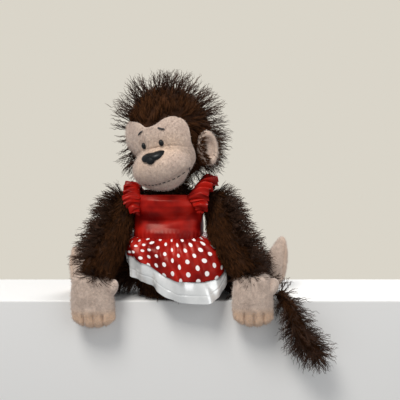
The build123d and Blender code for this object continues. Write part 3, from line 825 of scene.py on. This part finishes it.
def buildEars():
    # an oval pad: its front rises in a rounded rim and sinks in the middle, its back is a low dome
    for name, side in (("left", 1), ("right", -1)):
        f, s = radians(earShape["forward"]), radians(earShape["sweep"])
        root = np.array([side * earShape["rootRadius"] * np.cos(f), -earShape["rootRadius"] * np.sin(f),
            -earShape["drop"]])
        out = np.array([side * np.cos(s), np.sin(s), 0])
        front = np.array([side * np.sin(s), -np.cos(s), 0])
        up = np.array([0, 0, 1.0])
        angle = fullTurn(80)
        share = np.sin(np.linspace(0.03, np.pi / 2, 22))
        sink = earShape["dish"] * (1 - smoothStep(share, 0.35, 0.82))
        faceRise = earShape["thickness"] * np.sqrt(np.clip(1 - share**5, 0, 1)) - sink
        backRise = -earShape["thickness"] * np.sqrt(np.clip(1 - share**4, 0, 1))
        share2 = np.concatenate([share, share[-2::-1]])
        rise = np.concatenate([faceRise, backRise[-2::-1]])
        x = -1.0 + share2[:, None] * earShape["halfWidth"] * np.cos(angle)
        z = share2[:, None] * earShape["halfHeight"] * np.sin(angle) * (1 + 0.05 * np.cos(angle))
        lift = rise[:, None, None] + 0 * x[..., None]
        local = root + x[..., None] * out + z[..., None] * up + lift * front
        grid = headToRow(local, earShape["roll"])
        points, faces = closeGrid(grid)
        plushPiece(f"ear_pad_{name}", f"ear_{name}", points, faces, faceMaterial,
                   [f"ear_{name}", f"ear_lining_{name}"], warmth=0.15 + np.zeros(len(points)))
        frontOnly = np.zeros(grid.shape[:2])
        frontOnly[4:24] = 1
        fuzz(f"ear_pile_{name}", f"ear_{name}", grid, count=1500, seed=31 + side, weight=frontOnly)
        backOnly = np.zeros(grid.shape[:2])
        backOnly[25:] = 1
        # the head's fur reaches over the third of the ear next to the head
        inner = smoothStep(-share2[:, None] * np.cos(angle) + 0.15 * np.sin(3 * angle), 0.28, 0.5)
        backOnly[:24] = 1.4 * inner[:24]
        hair = {**coat, "count": 1300, "length": (5, 9), "lay": (55, 82)}
        outwards = np.broadcast_to(headVector(out - 0.4 * up), grid.shape)
        strands = plantHair(f"ear_fur_{name}", grid, outwards, backOnly, hair, 41 + side, furMaterial)
        place(strands, f"ear_{name}", "fur")
    print("ears made")


bodyProfile = np.array([(0, 28), (2, 31.5), (20, 34.5), (45, 31), (62, 28), (86, 27), (97, 24.5), (103, 19),
    (107, 10), (108, 2)], float)


def bodyRadius(z):
    return np.interp(z, bodyProfile[:, 0], bodyProfile[:, 1])


neckLook = dict(radius=12.4, centre=(2.0, 2, 110))


def buildBody():
    # the body is turned about Z: its radius follows a profile of heights
    z = np.concatenate([np.linspace(0.2, 97, 60), np.linspace(98, 108, 10)])
    angle = fullTurn(96)
    radius = bodyRadius(z)
    radius[0] = 26
    grid = np.stack([radius[:, None] * np.sin(angle), -radius[:, None] * np.cos(angle),
        z[:, None] + 0 * angle], -1)
    down = np.broadcast_to(np.array([0, 0, -1.0]), grid.shape)
    zz = grid[..., 2]
    weight = 0.9 * (zz > 4) * (zz < 52) + 1.2 * (zz > 97)
    furry("body", "torso", grid, down, weight, weight * (zz > 97), ["torso_skin", "torso_filling"],
          coatCount=3600, shagCount=240, seed=51,
          coatExtra=dict(length=(6, 10), lay=(50, 84)), shagExtra=dict(length=(8, 12)))

    # neck: a soft round gusset between body and head
    tilt = poleToPole(30, 0.04)
    neck = oval((neckLook["radius"],) * 3, tilt, angle) + np.array(neckLook["centre"])
    furry("neck", "neck", neck, np.broadcast_to(np.array([0, 0, -1.0]), neck.shape), even(neck), even(neck),
          ["neck_gusset"], coatCount=1500, shagCount=0, seed=61,
          coatExtra=dict(length=(10, 15), lay=(25, 65)))


limbs = dict(
    left=dict(side=1, handWide=1.04, shoulder=(44, -2, 95), elbow=(56.5, -25, 60), wrist=(76, -46, 31),
    hip=(35, 0, 32), ankle=(97, 6, 27)),
    right=dict(side=-1, handWide=1.1, shoulder=(-44, -2, 93), elbow=(-55.5, -25, 60), wrist=(-68, -47, 30),
    hip=(-35, 0, 29), ankle=(-89, 5, 17)))
armLook = dict(radii=(11.0, 12.6, 14.2, 14.8, 14.2, 13.0), capTop=11, capEnd=5)
cuffHair = dict(count=600, length=(13, 24), levels=6, waves=2.0, lay=(74, 88), swirl=0.4, kink=0.8)
legLook = dict(radii=(13.5, 13.5, 13, 12.5, 12, 11), capTop=9, capEnd=6)


def buildArm(name, look):
    # a sleeve from shoulder to wrist with a coat, a shag on its outer side and a cuff
    side = look["side"]
    shoulder, elbow, wrist = (np.array(look[k], float) for k in ("shoulder", "elbow", "wrist"))
    start = shoulder + np.array([-6.0 * side, 3, 5])
    end = wrist + unit(wrist - elbow) * 0.5
    grid, heading = sweep([start, shoulder + np.array([3 * side, -3, -6]), elbow, end], armLook["radii"],
                          rows=60, columns=84,
                          caps=(armLook["capTop"], armLook["capEnd"]))
    x, z = grid[..., 0] * side, grid[..., 2]
    coatWeight = 1 - smoothStep(-x, -43, -36) * smoothStep(z, 88, 96)
    normal = gridNormals(grid)
    outside = smoothStep(normal[..., 0] * side + 0.5 * normal[..., 2], 0.35, 0.8)
    comb = heading + np.array([0.25 * side, 0, -0.2])
    furry(f"arm_{name}", f"arm_{name}", grid, comb, coatWeight, coatWeight * outside * smoothStep(z, 36, 52),
          [f"arm_skin_{name}", f"arm_filling_{name}"], coatCount=8000, shagCount=1050, seed=71 + side,
          coatExtra=dict(length=(8, 12)), shagExtra=dict(length=(14, 22), lay=(18, 42)))
    # long hairs at the wrist lie down over the top of the hand
    wristOnly = np.repeat(smoothStep(np.linspace(0, 1, 60), 0.9, 0.97)[:, None], 84, 1)
    hair = {**shag, **cuffHair}
    cuff = plantHair(f"arm_{name}_cuff", grid, heading, wristOnly, hair, 77 + side, shagMaterial)
    place(cuff, f"arm_{name}", "fur")


handLook = dict(halfWidth=18.6, halfThickness=9.5, length=52.0, fingers=(-9.0, 0.0, 9.0),
    thumbRadius=(6.8, 6.2, 10.0), thumbAt=(17.5, -0.5, -14),
    thumbLean=32, widthAt=([0, 0.12, 0.35, 0.6, 0.85, 1], [0.8, 0.88, 0.96, 1.0, 0.98, 0.92]),
    thickAt=([0, 0.12, 0.4, 0.65, 0.85, 1], [1.05, 1.1, 1.12, 1.0, 0.82, 0.7]))


def buildHand(name, look):
    # a mitten: flat oval sections down its length, creased between the fingers and scalloped at the tips
    side = look["side"]
    wrist = np.array(look["wrist"], float)
    middle = wrist + (np.array([3.5, 0, 0]) if side > 0 else np.array([-4.5, 1, 0]))
    share = (1 - np.cos(np.linspace(0.03, np.pi - 0.03, 84))) / 2
    width = look["handWide"] * handLook["halfWidth"] * np.interp(share, *handLook["widthAt"])
    thick = handLook["halfThickness"] * np.interp(share, *handLook["thickAt"])
    close = np.clip(1 - np.clip((share - 0.84) / 0.16, 0, 1) ** 2.2, 0, 1) ** 0.5 + 0.02
    top = np.sqrt(np.clip(1 - np.clip(1 - share / 0.1, 0, 1) ** 2, 0, 1)) + 0.02
    angle = fullTurn(120)
    c, s = np.cos(angle), np.sin(angle)
    ox = np.sign(c) * abs(c) ** 0.8
    oy = np.sign(s) * abs(s) ** 0.9
    roundOff = (top * close)[:, None]
    x = width[:, None] * ox * np.maximum(roundOff, 0.02) ** 0.55
    y = thick[:, None] * oy * roundOff
    groove = sum(np.exp(-((x - f) / 1.25) ** 2) for f in handLook["fingers"])
    low = smoothStep(share, 0.66, 0.78)[:, None]
    y = y * (1 - 0.3 * groove * low)
    z = -handLook["length"] * share[:, None] + 1.2 * groove * smoothStep(share, 0.86, 1.0)[:, None]
    z = z + 3.4 * (x / handLook["halfWidth"]) ** 2 * smoothStep(share, 0.76, 1.0)[:, None]
    x = x + 2.0 * share[:, None] ** 2
    grid = np.stack([x, y, z + 0 * x], -1) + middle
    thumbTilt = poleToPole(26, 0.05)
    around = fullTurn(44)[None]
    thumb = oval(handLook["thumbRadius"], thumbTilt, around)
    lean = radians(handLook["thumbLean"])
    thumb = np.stack([thumb[..., 0] * np.cos(lean) + thumb[..., 2] * np.sin(lean), thumb[..., 1],
                      -thumb[..., 0] * np.sin(lean) + thumb[..., 2] * np.cos(lean)], -1)
    thumb = thumb + middle + np.array(handLook["thumbAt"])
    points, faces = joinParts([grid, thumb])
    zz = points[:, 2] - wrist[2]
    warmth = 0.85 * smoothStep(-zz, 30, 40)
    plushPiece(f"hand_{name}", f"hand_{name}", points, faces, handMaterial,
               [f"hand_skin_{name}", f"hand_filling_{name}"], warmth=warmth)
    fuzz(f"hand_pile_{name}", f"hand_{name}", grid, count=4200, seed=81 + side)
    # finger seams: one line of thread lies in each crease, front and back
    parts = []
    for f in handLook["fingers"]:
        for face in (-1, 1):
            drop = np.linspace(0.7, 0.92, 10)
            depth = np.interp(drop, share, thick * close) * 0.72 * (1 - abs(f) * 0.012)
            path = np.stack([f + 2.0 * drop**2, face * depth, -handLook["length"] * drop + 1], -1) + middle
            parts.append(threadTube(path, 0.35, 6))
    points, faces = joinParts(parts)
    flat = np.zeros(len(points))
    thread = makePiece(f"finger_threads_{name}", points, faces, tanMaterial,
        dict(tint=flat + 0.5, along=flat))
    place(thread, f"hand_{name}", "tan_thread", [f"finger_stitches_{name}"])


footLook = dict(radius=12.5, halfLength=25.0, reach=12.0, tuckIn=8.0, forward=4.0, rise=4.0)


def buildLeg(name, look):
    # a sleeve from hip to ankle, and the foot at its end
    side = look["side"]
    hip, ankle = np.array(look["hip"], float), np.array(look["ankle"], float)
    heading = unit(ankle - hip)
    grid, comb = sweep([hip - heading * 6, (hip + ankle) / 2, ankle - heading * 1], legLook["radii"], rows=44,
                       columns=72,
                       caps=(legLook["capTop"], legLook["capEnd"]))
    outer = smoothStep(grid[..., 0] * side, 45, 70)
    below = smoothStep(-gridNormals(grid)[..., 2], 0.0, 0.6) * (1 - outer)
    furry(f"leg_{name}", f"leg_{name}", grid, comb, even(grid), outer + 2 * below,
          [f"leg_skin_{name}", f"leg_filling_{name}"],
          coatCount=4400, shagCount=1200, seed=91 + side,
          shagExtra=dict(length=(10, 17), lay=(15, 55), droop=0.25, levels=5, waves=2.0))
    # foot: an upright oval pad, its sole flatter than its top, creased round the sole's edge
    centre = ankle + np.array([side * footLook["reach"] - min(side, 0) * footLook["tuckIn"],
        footLook["forward"], footLook["rise"]])
    tilt = poleToPole(60, 0.04)
    around = fullTurn(88)[None]
    r = footLook["radius"] * np.sin(tilt) ** 0.82 * (1 - 0.38 * smoothStep(np.cos(tilt), -0.1, 1.0))
    out = np.cos(around)
    flatten = np.where(out * side > 0, 0.86, 1.0)
    x = r * out * flatten
    y = r * np.sin(around) * 1.06
    z = footLook["halfLength"] * np.cos(tilt) + 0 * around
    crease = np.exp(-((x * side - 5.2) / 0.9) ** 2)
    shrink = 1 - 0.06 * crease
    lean = side * 5.5 * smoothStep(np.cos(tilt), -0.2, 1.0)
    foot = np.stack([x * shrink + lean, y * shrink, z * (1 - 0.03 * crease)], -1)
    foot = foot + centre
    points, faces = closeGrid(foot)
    warmth = 0.4 * smoothStep(points[:, 0] * side, centre[0] * side + 3, centre[0] * side + 10)
    plushPiece(f"foot_{name}", f"foot_{name}", points, faces, handMaterial,
               [f"foot_skin_{name}", f"foot_filling_{name}"], warmth=warmth)
    fuzz(f"foot_pile_{name}", f"foot_{name}", foot, count=2500, seed=101 + side)


tailLook = dict(
    base=[(18, 24, 10), (36, 34, 8.5), (52, 23, 8.5), (58, 0, 8.5), (64, -14, 8.5)],
    middle=[(66, -19, 8.5), (87, -25, 8.5), (101, -27, 8.5)],
    end=[(107, -29, 8), (116, -42, -4), (126, -48, -27), (141, -53, -48)])


def buildTail():
    # three lengths of one soft rope, each on its own body
    parts = [("tail_root", "torso", "tail_base", tailLook["base"], (5, 6, 6, 6, 4.6), 1900, 150),
             ("tail_mid", "tail_middle", "tail_middle", tailLook["middle"], (4.6, 6, 6, 4.6), 1900, 330),
             ("tail_tip", "tail_end", "tail_end", tailLook["end"], (4.4, 4.9, 5.3, 5.7, 4.6), 2700, 900)]
    for number, (label, body, node, path, radii, many, long) in enumerate(parts):
        grid, heading = sweep(path, radii, rows=40, columns=48, side=(0, 0, 1)
            if label != "tail_tip" else (0, 1, 0), caps=(4, 5))
        reach = 0.25 + 0.75 * np.linspace(0, 1, 40)[:, None] + 0 * grid[..., 0]
        furry(label, body, grid, heading, even(grid), reach, [node], coatCount=many, shagCount=long,
              seed=111 + 3 * number,
              coatExtra=dict(length=(5, 8), lay=(66, 86)),
              shagExtra=dict(length=(13, 22), lay=(22, 60), layJitter=18))


def clothUv(grid):
    # lengths along the cloth in metres: across at its last row, and down its middle column
    across = np.concatenate([[0], np.cumsum(np.linalg.norm(np.diff(grid[-1], axis=0), axis=1))])
    middle = grid[:, grid.shape[1] // 2]
    down = np.concatenate([[0], np.cumsum(np.linalg.norm(np.diff(middle, axis=0), axis=1))])
    return np.stack([np.broadcast_to(across[None], grid.shape[:2]),
        np.broadcast_to(-down[:, None], grid.shape[:2])], -1) * mm


def addSheet(name, grid, body, material, slot, replaced, thickness, closed=False, blendTo=None, **cloth):
    # one layer of cloth from a grid; a closed grid's first column is repeated so that its lengths run on
    if closed:
        grid = np.concatenate([grid, grid[:, :1]], 1)
    uv = clothUv(grid).reshape(-1, 2)
    rows, columns = grid.shape[:2]
    quads = gridFaces(rows, columns, closed=False)
    piece = makePiece(name, grid.reshape(-1, 3), [quads], material, uv=uv)
    if closed:
        merge = piece.modifiers.new("join", "WELD")
        merge.merge_threshold = 0.01 * mm
    wall = piece.modifiers.new("cloth", "SOLIDIFY")
    wall.thickness = thickness * mm
    wall.offset = 0
    side, down = grid[:-1, 1:] - grid[:-1, :-1], grid[1:, :-1] - grid[:-1, :-1]
    area = np.linalg.norm(np.cross(side, down), axis=-1).sum() * mm * mm
    hem = np.linalg.norm(np.diff(grid[-1], axis=0), axis=1).sum() * mm
    print(f"sheet {name}: area {area:.5f} m2, hem {hem:.3f} m")
    if blendTo:
        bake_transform(piece)
    else:
        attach(piece, body)
    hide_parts(*replaced)


# heights and the tube's radius, half width or depth there
bodiceLook = dict(
    frontAt=([58, 62, 66, 71, 78, 83, 88, 93, 98, 103],
    [33.4, 34.0, 33.6, 31.2, 29.7, 31.4, 34.4, 35.8, 34.8, 31.2]),
    sideAt=([58, 64, 92, 98, 103], [33.6, 34.8, 34.8, 34.0, 31.4]), depthAt=([60, 100], [1.0, 0.93]))


def buildBodice():
    # a tube round the body, fuller near the neckline, drawn in at the middle and gathered at the waist
    rows, columns = 54, 190
    angle = np.linspace(-np.pi, np.pi, columns, endpoint=False)
    side = smoothStep(abs(np.sin(angle)), 0.80, 0.97)
    top = 102.5 - 18 * side + 0.5 * np.cos(3 * angle)
    t = np.linspace(0, 1, rows)[:, None]
    z = top + (59.5 - top) * t
    base = np.interp(z, *bodiceLook["frontAt"])
    box = (abs(np.cos(angle)) ** 3.2 + abs(np.sin(angle)) ** 3.2) ** (-1 / 3.2)
    box = 1 + (box - 1) * 0.75
    gather = 0.55 * np.cos(52 * angle + 2 * np.sin(3 * angle)) * smoothStep(t, 0.72, 1.0)
    slack = 0.7 * np.sin(z * 0.32 + 2.2 * np.sin(2 * angle + 0.6))
    slack = slack * smoothStep(1 - t, 0.1, 0.5) * smoothStep(t, 0.04, 0.3)
    dent = -2.2 * np.exp(-((z - 78 - 3 * np.sin(angle * 1.5)) / 5.0) ** 2)
    radius = base * box + gather + slack + dent
    wide = np.interp(z, *bodiceLook["sideAt"]) * box + gather + 0.5 * slack
    depth = np.interp(z, *bodiceLook["depthAt"])
    grid = np.stack([wide * np.sin(angle) - 1.6, -radius * np.cos(angle) * depth, z + 0 * radius], -1)
    addSheet("bodice", grid, "torso", redMaterial, "red_satin", ["dress_bodice", "waist_band"], thickness=0.7,
             closed=True,
             flat=(0.21, 0.042), held="stretched", rests_on=["body_backing"])
    # a rolled hem follows the neckline, and a strip of touch tape closes the back
    rim = np.concatenate([grid[0], grid[0][:1]])
    points, faces = joinParts([threadTube(rim, 0.75, 8)])
    hem = makePiece("neckline_roll", points, faces, redMaterial, uv=points[:, [0, 2]] * mm)
    place(hem, "torso", "red_satin")
    tape = np.linspace(-0.16, 0.16, 14)[None]
    height = np.linspace(100, 66, 40)[:, None]
    behind = np.interp(height, z[::-1, 0], radius[::-1, 0]) * np.interp(height, *bodiceLook["depthAt"]) + 0.9
    strip = np.stack([behind * np.sin(tape), behind * np.cos(tape), height + 0 * tape], -1)
    addSheet("touch_tape", strip, "torso", redMaterial, "tape", ["closure_tape"], thickness=1.0,
             flat=(0.0105, 0.034), held="stretched", rests_on=["bodice"])


straps = dict(
    left=dict(inner=[(28, -29, 84), (24, -31, 93), (19, -29, 101), (25, -16, 109), (28, 0, 111),
    (28, 12, 108), (25, 24, 98)],
              outer=[(34, -32, 84), (41, -33, 92), (40, -31, 103), (44, -22, 111), (48, -6, 116),
              (43, 13, 115), (34, 27, 102)], waves=9),
    right=dict(inner=[(-28, -29, 83), (-28, -28, 93), (-28, -22, 101), (-29, -12, 106), (-30, 0, 108),
    (-29, 12, 105), (-26, 24, 96)],
               outer=[(-34, -32, 83), (-42, -33, 90), (-46, -29, 98), (-45, -20, 104), (-45, -3, 110),
               (-41, 12, 110), (-34, 26, 99)], waves=8))


def buildStraps():
    # a gathered frill from the strap's seam to its loose edge, waving more towards that edge
    for name, lines in straps.items():
        inner, _ = alongPath(lines["inner"], 260)
        outer, _ = alongPath(lines["outer"], 260)
        t = np.linspace(0, 1, 260)
        w = np.linspace(0, 1, 18)[:, None, None]
        out = unit(outer - inner)
        along = unit(np.gradient(inner, axis=0))
        across = np.cross(out, along)
        wave = np.sin(2 * np.pi * lines["waves"] * t + 1.8 * np.sin(2 * np.pi * 2.3 * t))[None, :, None]
        crumple = np.sin(2 * np.pi * 2.6 * lines["waves"] * t + 2.5 * np.sin(2 * np.pi * 3.1 * t) + 1)
        crumple = crumple[None, :, None]
        edge = np.sin(np.pi * t)[None, :, None] ** 0.4
        grid = inner[None] + w * (outer - inner)[None] * (0.4 + 0.6 * edge)
        grid = grid + (1.0 + 2.3 * w) * wave * across[None] * edge
        grid = grid + (0.9 + 0.9 * w) * crumple * across[None] * edge
        shift = 1.6 * np.sin(2 * np.pi * 7 * t + 1) + 0.9 * np.sin(2 * np.pi * 19 * t)
        grid = grid + shift[None, :, None] * w * along[None]
        # the frill rolls up and over between its seam and its edge
        puff = np.array([0, -1.6, 3.0]) * np.sin(np.pi * w) * edge * (1 + 0.4 * wave)
        length = t[None, :, None]
        ripple = 0.8 * np.sin(2 * np.pi * 21 * length + 5 * w + 2 * np.sin(2 * np.pi * 4 * length))
        grid = grid + puff + ripple * edge * np.array([0.3, 0.6, 0.7])
        addSheet(f"frill_{name}", grid, "torso", redMaterial, "red_satin", [f"shoulder_strap_{name}"],
                 thickness=0.5,
                 flat=(0.13, 0.016), held="gathered", rests_on=["bodice"])


# angle from the front in degrees (towards the toy's left), hem radius, hem height
skirtHem = np.array([(-180, 44, 21), (-150, 45, 23), (-120, 46, 36), (-95, 47, 51), (-75, 46, 50),
                     (-58, 47, 46), (-40, 49, 43), (-20, 50, 38),
                     (-4, 52, 29), (14, 54, 24), (30, 57, 22.5), (44, 62, 23.5), (54, 66, 26), (68, 60, 42),
                     (90, 50, 51), (120, 46, 36), (150, 45, 23)], float)
petticoatHem = np.array([(-180, 42, 17), (-150, 43, 19), (-120, 44, 32), (-95, 44.5, 47), (-75, 44, 38),
                         (-58, 45, 28), (-40, 47, 23), (-16, 49, 18),
                         (2, 53, 7), (20, 57, 2), (34, 62, 2.5), (45, 67, 6), (54, 70, 11), (68, 60, 34),
                         (90, 47, 47), (120, 44, 32), (150, 43, 19)], float)


def roundTable(table, angle, column):
    # a value that follows a table round the whole circle, softened by averaging with its neighbours
    full = np.concatenate([table[-1:] - [[360, 0, 0]], table, table[:1] + [[360, 0, 0]]])
    spread = np.radians([-8, -4, 0, 4, 8])
    turned = (angle[:, None] + spread + np.pi) % (2 * np.pi) - np.pi
    return np.interp(np.degrees(turned), full[:, 0], full[:, column]).mean(1)


def flare(waist, top, inset=0.0, rows=56, columns=320):
    # the cloth leaves the waist outwards, then hangs; gathers die out and broad slanted folds grow
    dice = np.random.default_rng(5)
    angle = np.linspace(-np.pi, np.pi, columns, endpoint=False)
    hemRadius, hemHeight = roundTable(skirtHem, angle, 1), roundTable(skirtHem, angle, 2)
    t = np.linspace(0, 1, rows)[:, None]
    quick = 2.0 + 2.0 * smoothStep(-np.sin(angle), 0.2, 0.7)
    swell = 1 - (1 - t) ** quick
    radius = waist + (hemRadius - waist) * swell
    z = top + (hemHeight - top) * (0.25 * t + 0.75 * t**1.35)
    gathers = 1.1 * np.cos(40 * angle + 3 * np.sin(2 * angle)) * (1 - t) ** 1.1 * smoothStep(t, 0.0, 0.05)
    folds = [(6, 1.6, 0.55), (10, 1.3, 0.7), (17, 0.8, 0.4), (29, 0.45, 0.2)]
    wide = sum(size * np.cos(many * (angle + slant * (1 - t)) + dice.uniform(0, 6.28))
        for many, size, slant in folds)
    # folds are sharper at their ridges than in their valleys
    wide = wide + 0.12 * wide**2
    radius = radius + gathers + wide * smoothStep(t, 0.06, 0.6) - inset
    return np.stack([radius * np.sin(angle), -radius * np.cos(angle), z + 0 * radius], -1), angle


def longFlare(rows=40, columns=320):
    # under the skirt the petticoat stays inside it by the inset; below the skirt's hem it falls on to its own
    upper, angle = flare(29.6, 60.5, inset=1.6, rows=36, columns=columns)
    radius, height = roundTable(petticoatHem, angle, 1), roundTable(petticoatHem, angle, 2)
    s = np.linspace(0, 1, rows)[1:, None, None]
    last = upper[-1]
    out = unit(last * np.array([1, 1, 0]))
    folds = 2.7 * np.cos(9 * angle + 0.7) + 1.6 * np.cos(17 * angle + 2.0) + 0.6 * np.cos(31 * angle)
    goal = out * (radius + folds)[:, None] + np.array([0, 0, 1.0]) * height[:, None]
    lower = last * (1 - s) + goal * s + out[None] * 2.2 * np.sin(np.pi * s) * 0.6
    return np.concatenate([upper, lower]), out


def buildSkirt():
    skirt, _ = flare(31.6, 62.5)
    addSheet("skirt", skirt, "torso", dottedMaterial, "dotted_satin", ["skirt_front", "skirt_back"],
             thickness=0.6, closed=True, blendTo="skirt",
             flat=(0.32, 0.044), held="gathered", rests_on=["bodice", "petticoat"])
    petticoat, out = longFlare()
    # the turned-up hem is sewn 8 mm above the edge, where the cloth draws in
    step = np.linalg.norm(np.diff(petticoat, axis=0), axis=-1)
    toEdge = np.concatenate([np.cumsum(step[::-1], 0)[::-1], np.zeros((1, step.shape[1]))])
    hem = dict(height=8, width=0.6, depth=0.35)
    line = np.exp(-((toEdge - hem["height"]) / hem["width"]) ** 2)
    petticoat = petticoat - hem["depth"] * line[..., None] * out
    addSheet("petticoat", petticoat, "torso", whiteMaterial, "white_satin",
             ["petticoat_front", "petticoat_back"], thickness=0.6, closed=True, blendTo="skirt",
             flat=(0.35, 0.055), held="gathered", rests_on=["bodice"])


buildHead()
buildEars()
buildBody()
for limbName, limbLook in limbs.items():
    buildArm(limbName, limbLook)
    buildHand(limbName, limbLook)
    buildLeg(limbName, limbLook)
print("limbs made")
buildTail()
buildBodice()
buildStraps()
buildSkirt()
print("dress made")


# the CAD nodes that no piece replaces lie inside the toy, and take the finish of the backing cloth
for node in frame["nodes"].values():
    node.data.materials.clear()
    node.data.materials.append(skinMaterial)


def buildStage():
    # a pale ledge whose front edge lies just behind the hanging hands
    ledge = dict(front=-0.031, back=0.055, half=0.75, depth=0.5)
    x, f, b, d = ledge["half"], ledge["front"], ledge["back"], ledge["depth"]
    corners = np.array([(-x, f, 0), (x, f, 0), (x, b, 0), (-x, b, 0), (-x, f, -d), (x, f, -d), (x, b, -d),
        (-x, b, -d)]) / mm
    faces = np.array([(0, 1, 2, 3), (7, 6, 5, 4), (4, 5, 1, 0), (5, 6, 2, 1), (6, 7, 3, 2), (7, 4, 0, 3)])
    paint = bpy.data.materials.new("ledge_paint")
    paint.use_nodes = True
    paint.node_tree.nodes["Principled BSDF"].inputs["Base Color"].default_value = rgb(0.8, 0.79, 0.77)
    paint.node_tree.nodes["Principled BSDF"].inputs["Roughness"].default_value = 0.6
    block = makePiece("ledge", corners, [faces], paint)
    block.data.polygons.foreach_set("use_smooth", np.zeros(6, bool))
    soften = block.modifiers.new("edge", "BEVEL")
    soften.width, soften.segments = 0.0015, 3


def addLamp(name, place, size, power, colour):
    # an area lamp turned towards the toy
    lamp = bpy.data.lights.new(name, "AREA")
    lamp.size, lamp.energy, lamp.color = size, power, colour
    item = bpy.data.objects.new(name, lamp)
    item.location = place
    aim = np.array([0.0, -0.01, 0.09]) - np.array(place)
    item.rotation_euler = Vector(aim).to_track_quat("-Z", "Y").to_euler()
    bpy.context.scene.collection.objects.link(item)


buildStage()
lamps = [("keyLight", (-0.35, -0.75, 1.25), 0.5, 17.0, (1.0, 0.98, 0.95)),
         ("fillLight", (0.95, -0.9, 0.55), 1.0, 4.0, (0.96, 0.98, 1.0)),
         ("backLight", (0.35, 0.9, 0.8), 0.8, 8.0, (1, 1, 1))]
for lamp in lamps:
    addLamp(*lamp)

world = bpy.data.worlds.new("paleRoom")
bpy.context.scene.world = world
world.use_nodes = True
sky = world.node_tree
sky.nodes.clear()
lit = addNode(sky, "Background", {"Color": rgb(0.95, 0.97, 1.0), "Strength": 0.42})
seen = addNode(sky, "Background", {"Color": rgb(0.7, 0.665, 0.585), "Strength": 1.0})
rays = addNode(sky, "LightPath")
direct = doMath(sky, "MAXIMUM", rays.outputs["Is Camera Ray"], rays.outputs["Is Transmission Ray"])
shown = addNode(sky, "MixShader", {0: direct, 1: lit.outputs[0], 2: seen.outputs[0]})
sky.links.new(shown.outputs[0], addNode(sky, "OutputWorld").inputs[0])

lens = bpy.data.cameras.new("camera")
cameraLook = dict(lens=55.8, sensor=36.0, place=(0.030, -0.620, 0.168), pitch=83.3)
lens.lens, lens.sensor_width = cameraLook["lens"], cameraLook["sensor"]
camera = bpy.data.objects.new("camera", lens)
camera.location = cameraLook["place"]
camera.rotation_euler = (radians(cameraLook["pitch"]), 0, 0)
bpy.context.scene.collection.objects.link(camera)
bpy.context.scene.camera = camera
bpy.context.scene.view_settings.view_transform = "Standard"
print("stage, lamps and camera made")

triangles = sum(sum(len(p.vertices) - 2 for p in o.data.polygons) for o in bpy.data.objects
    if o.type == "MESH")
print("triangles before modifiers:", triangles)
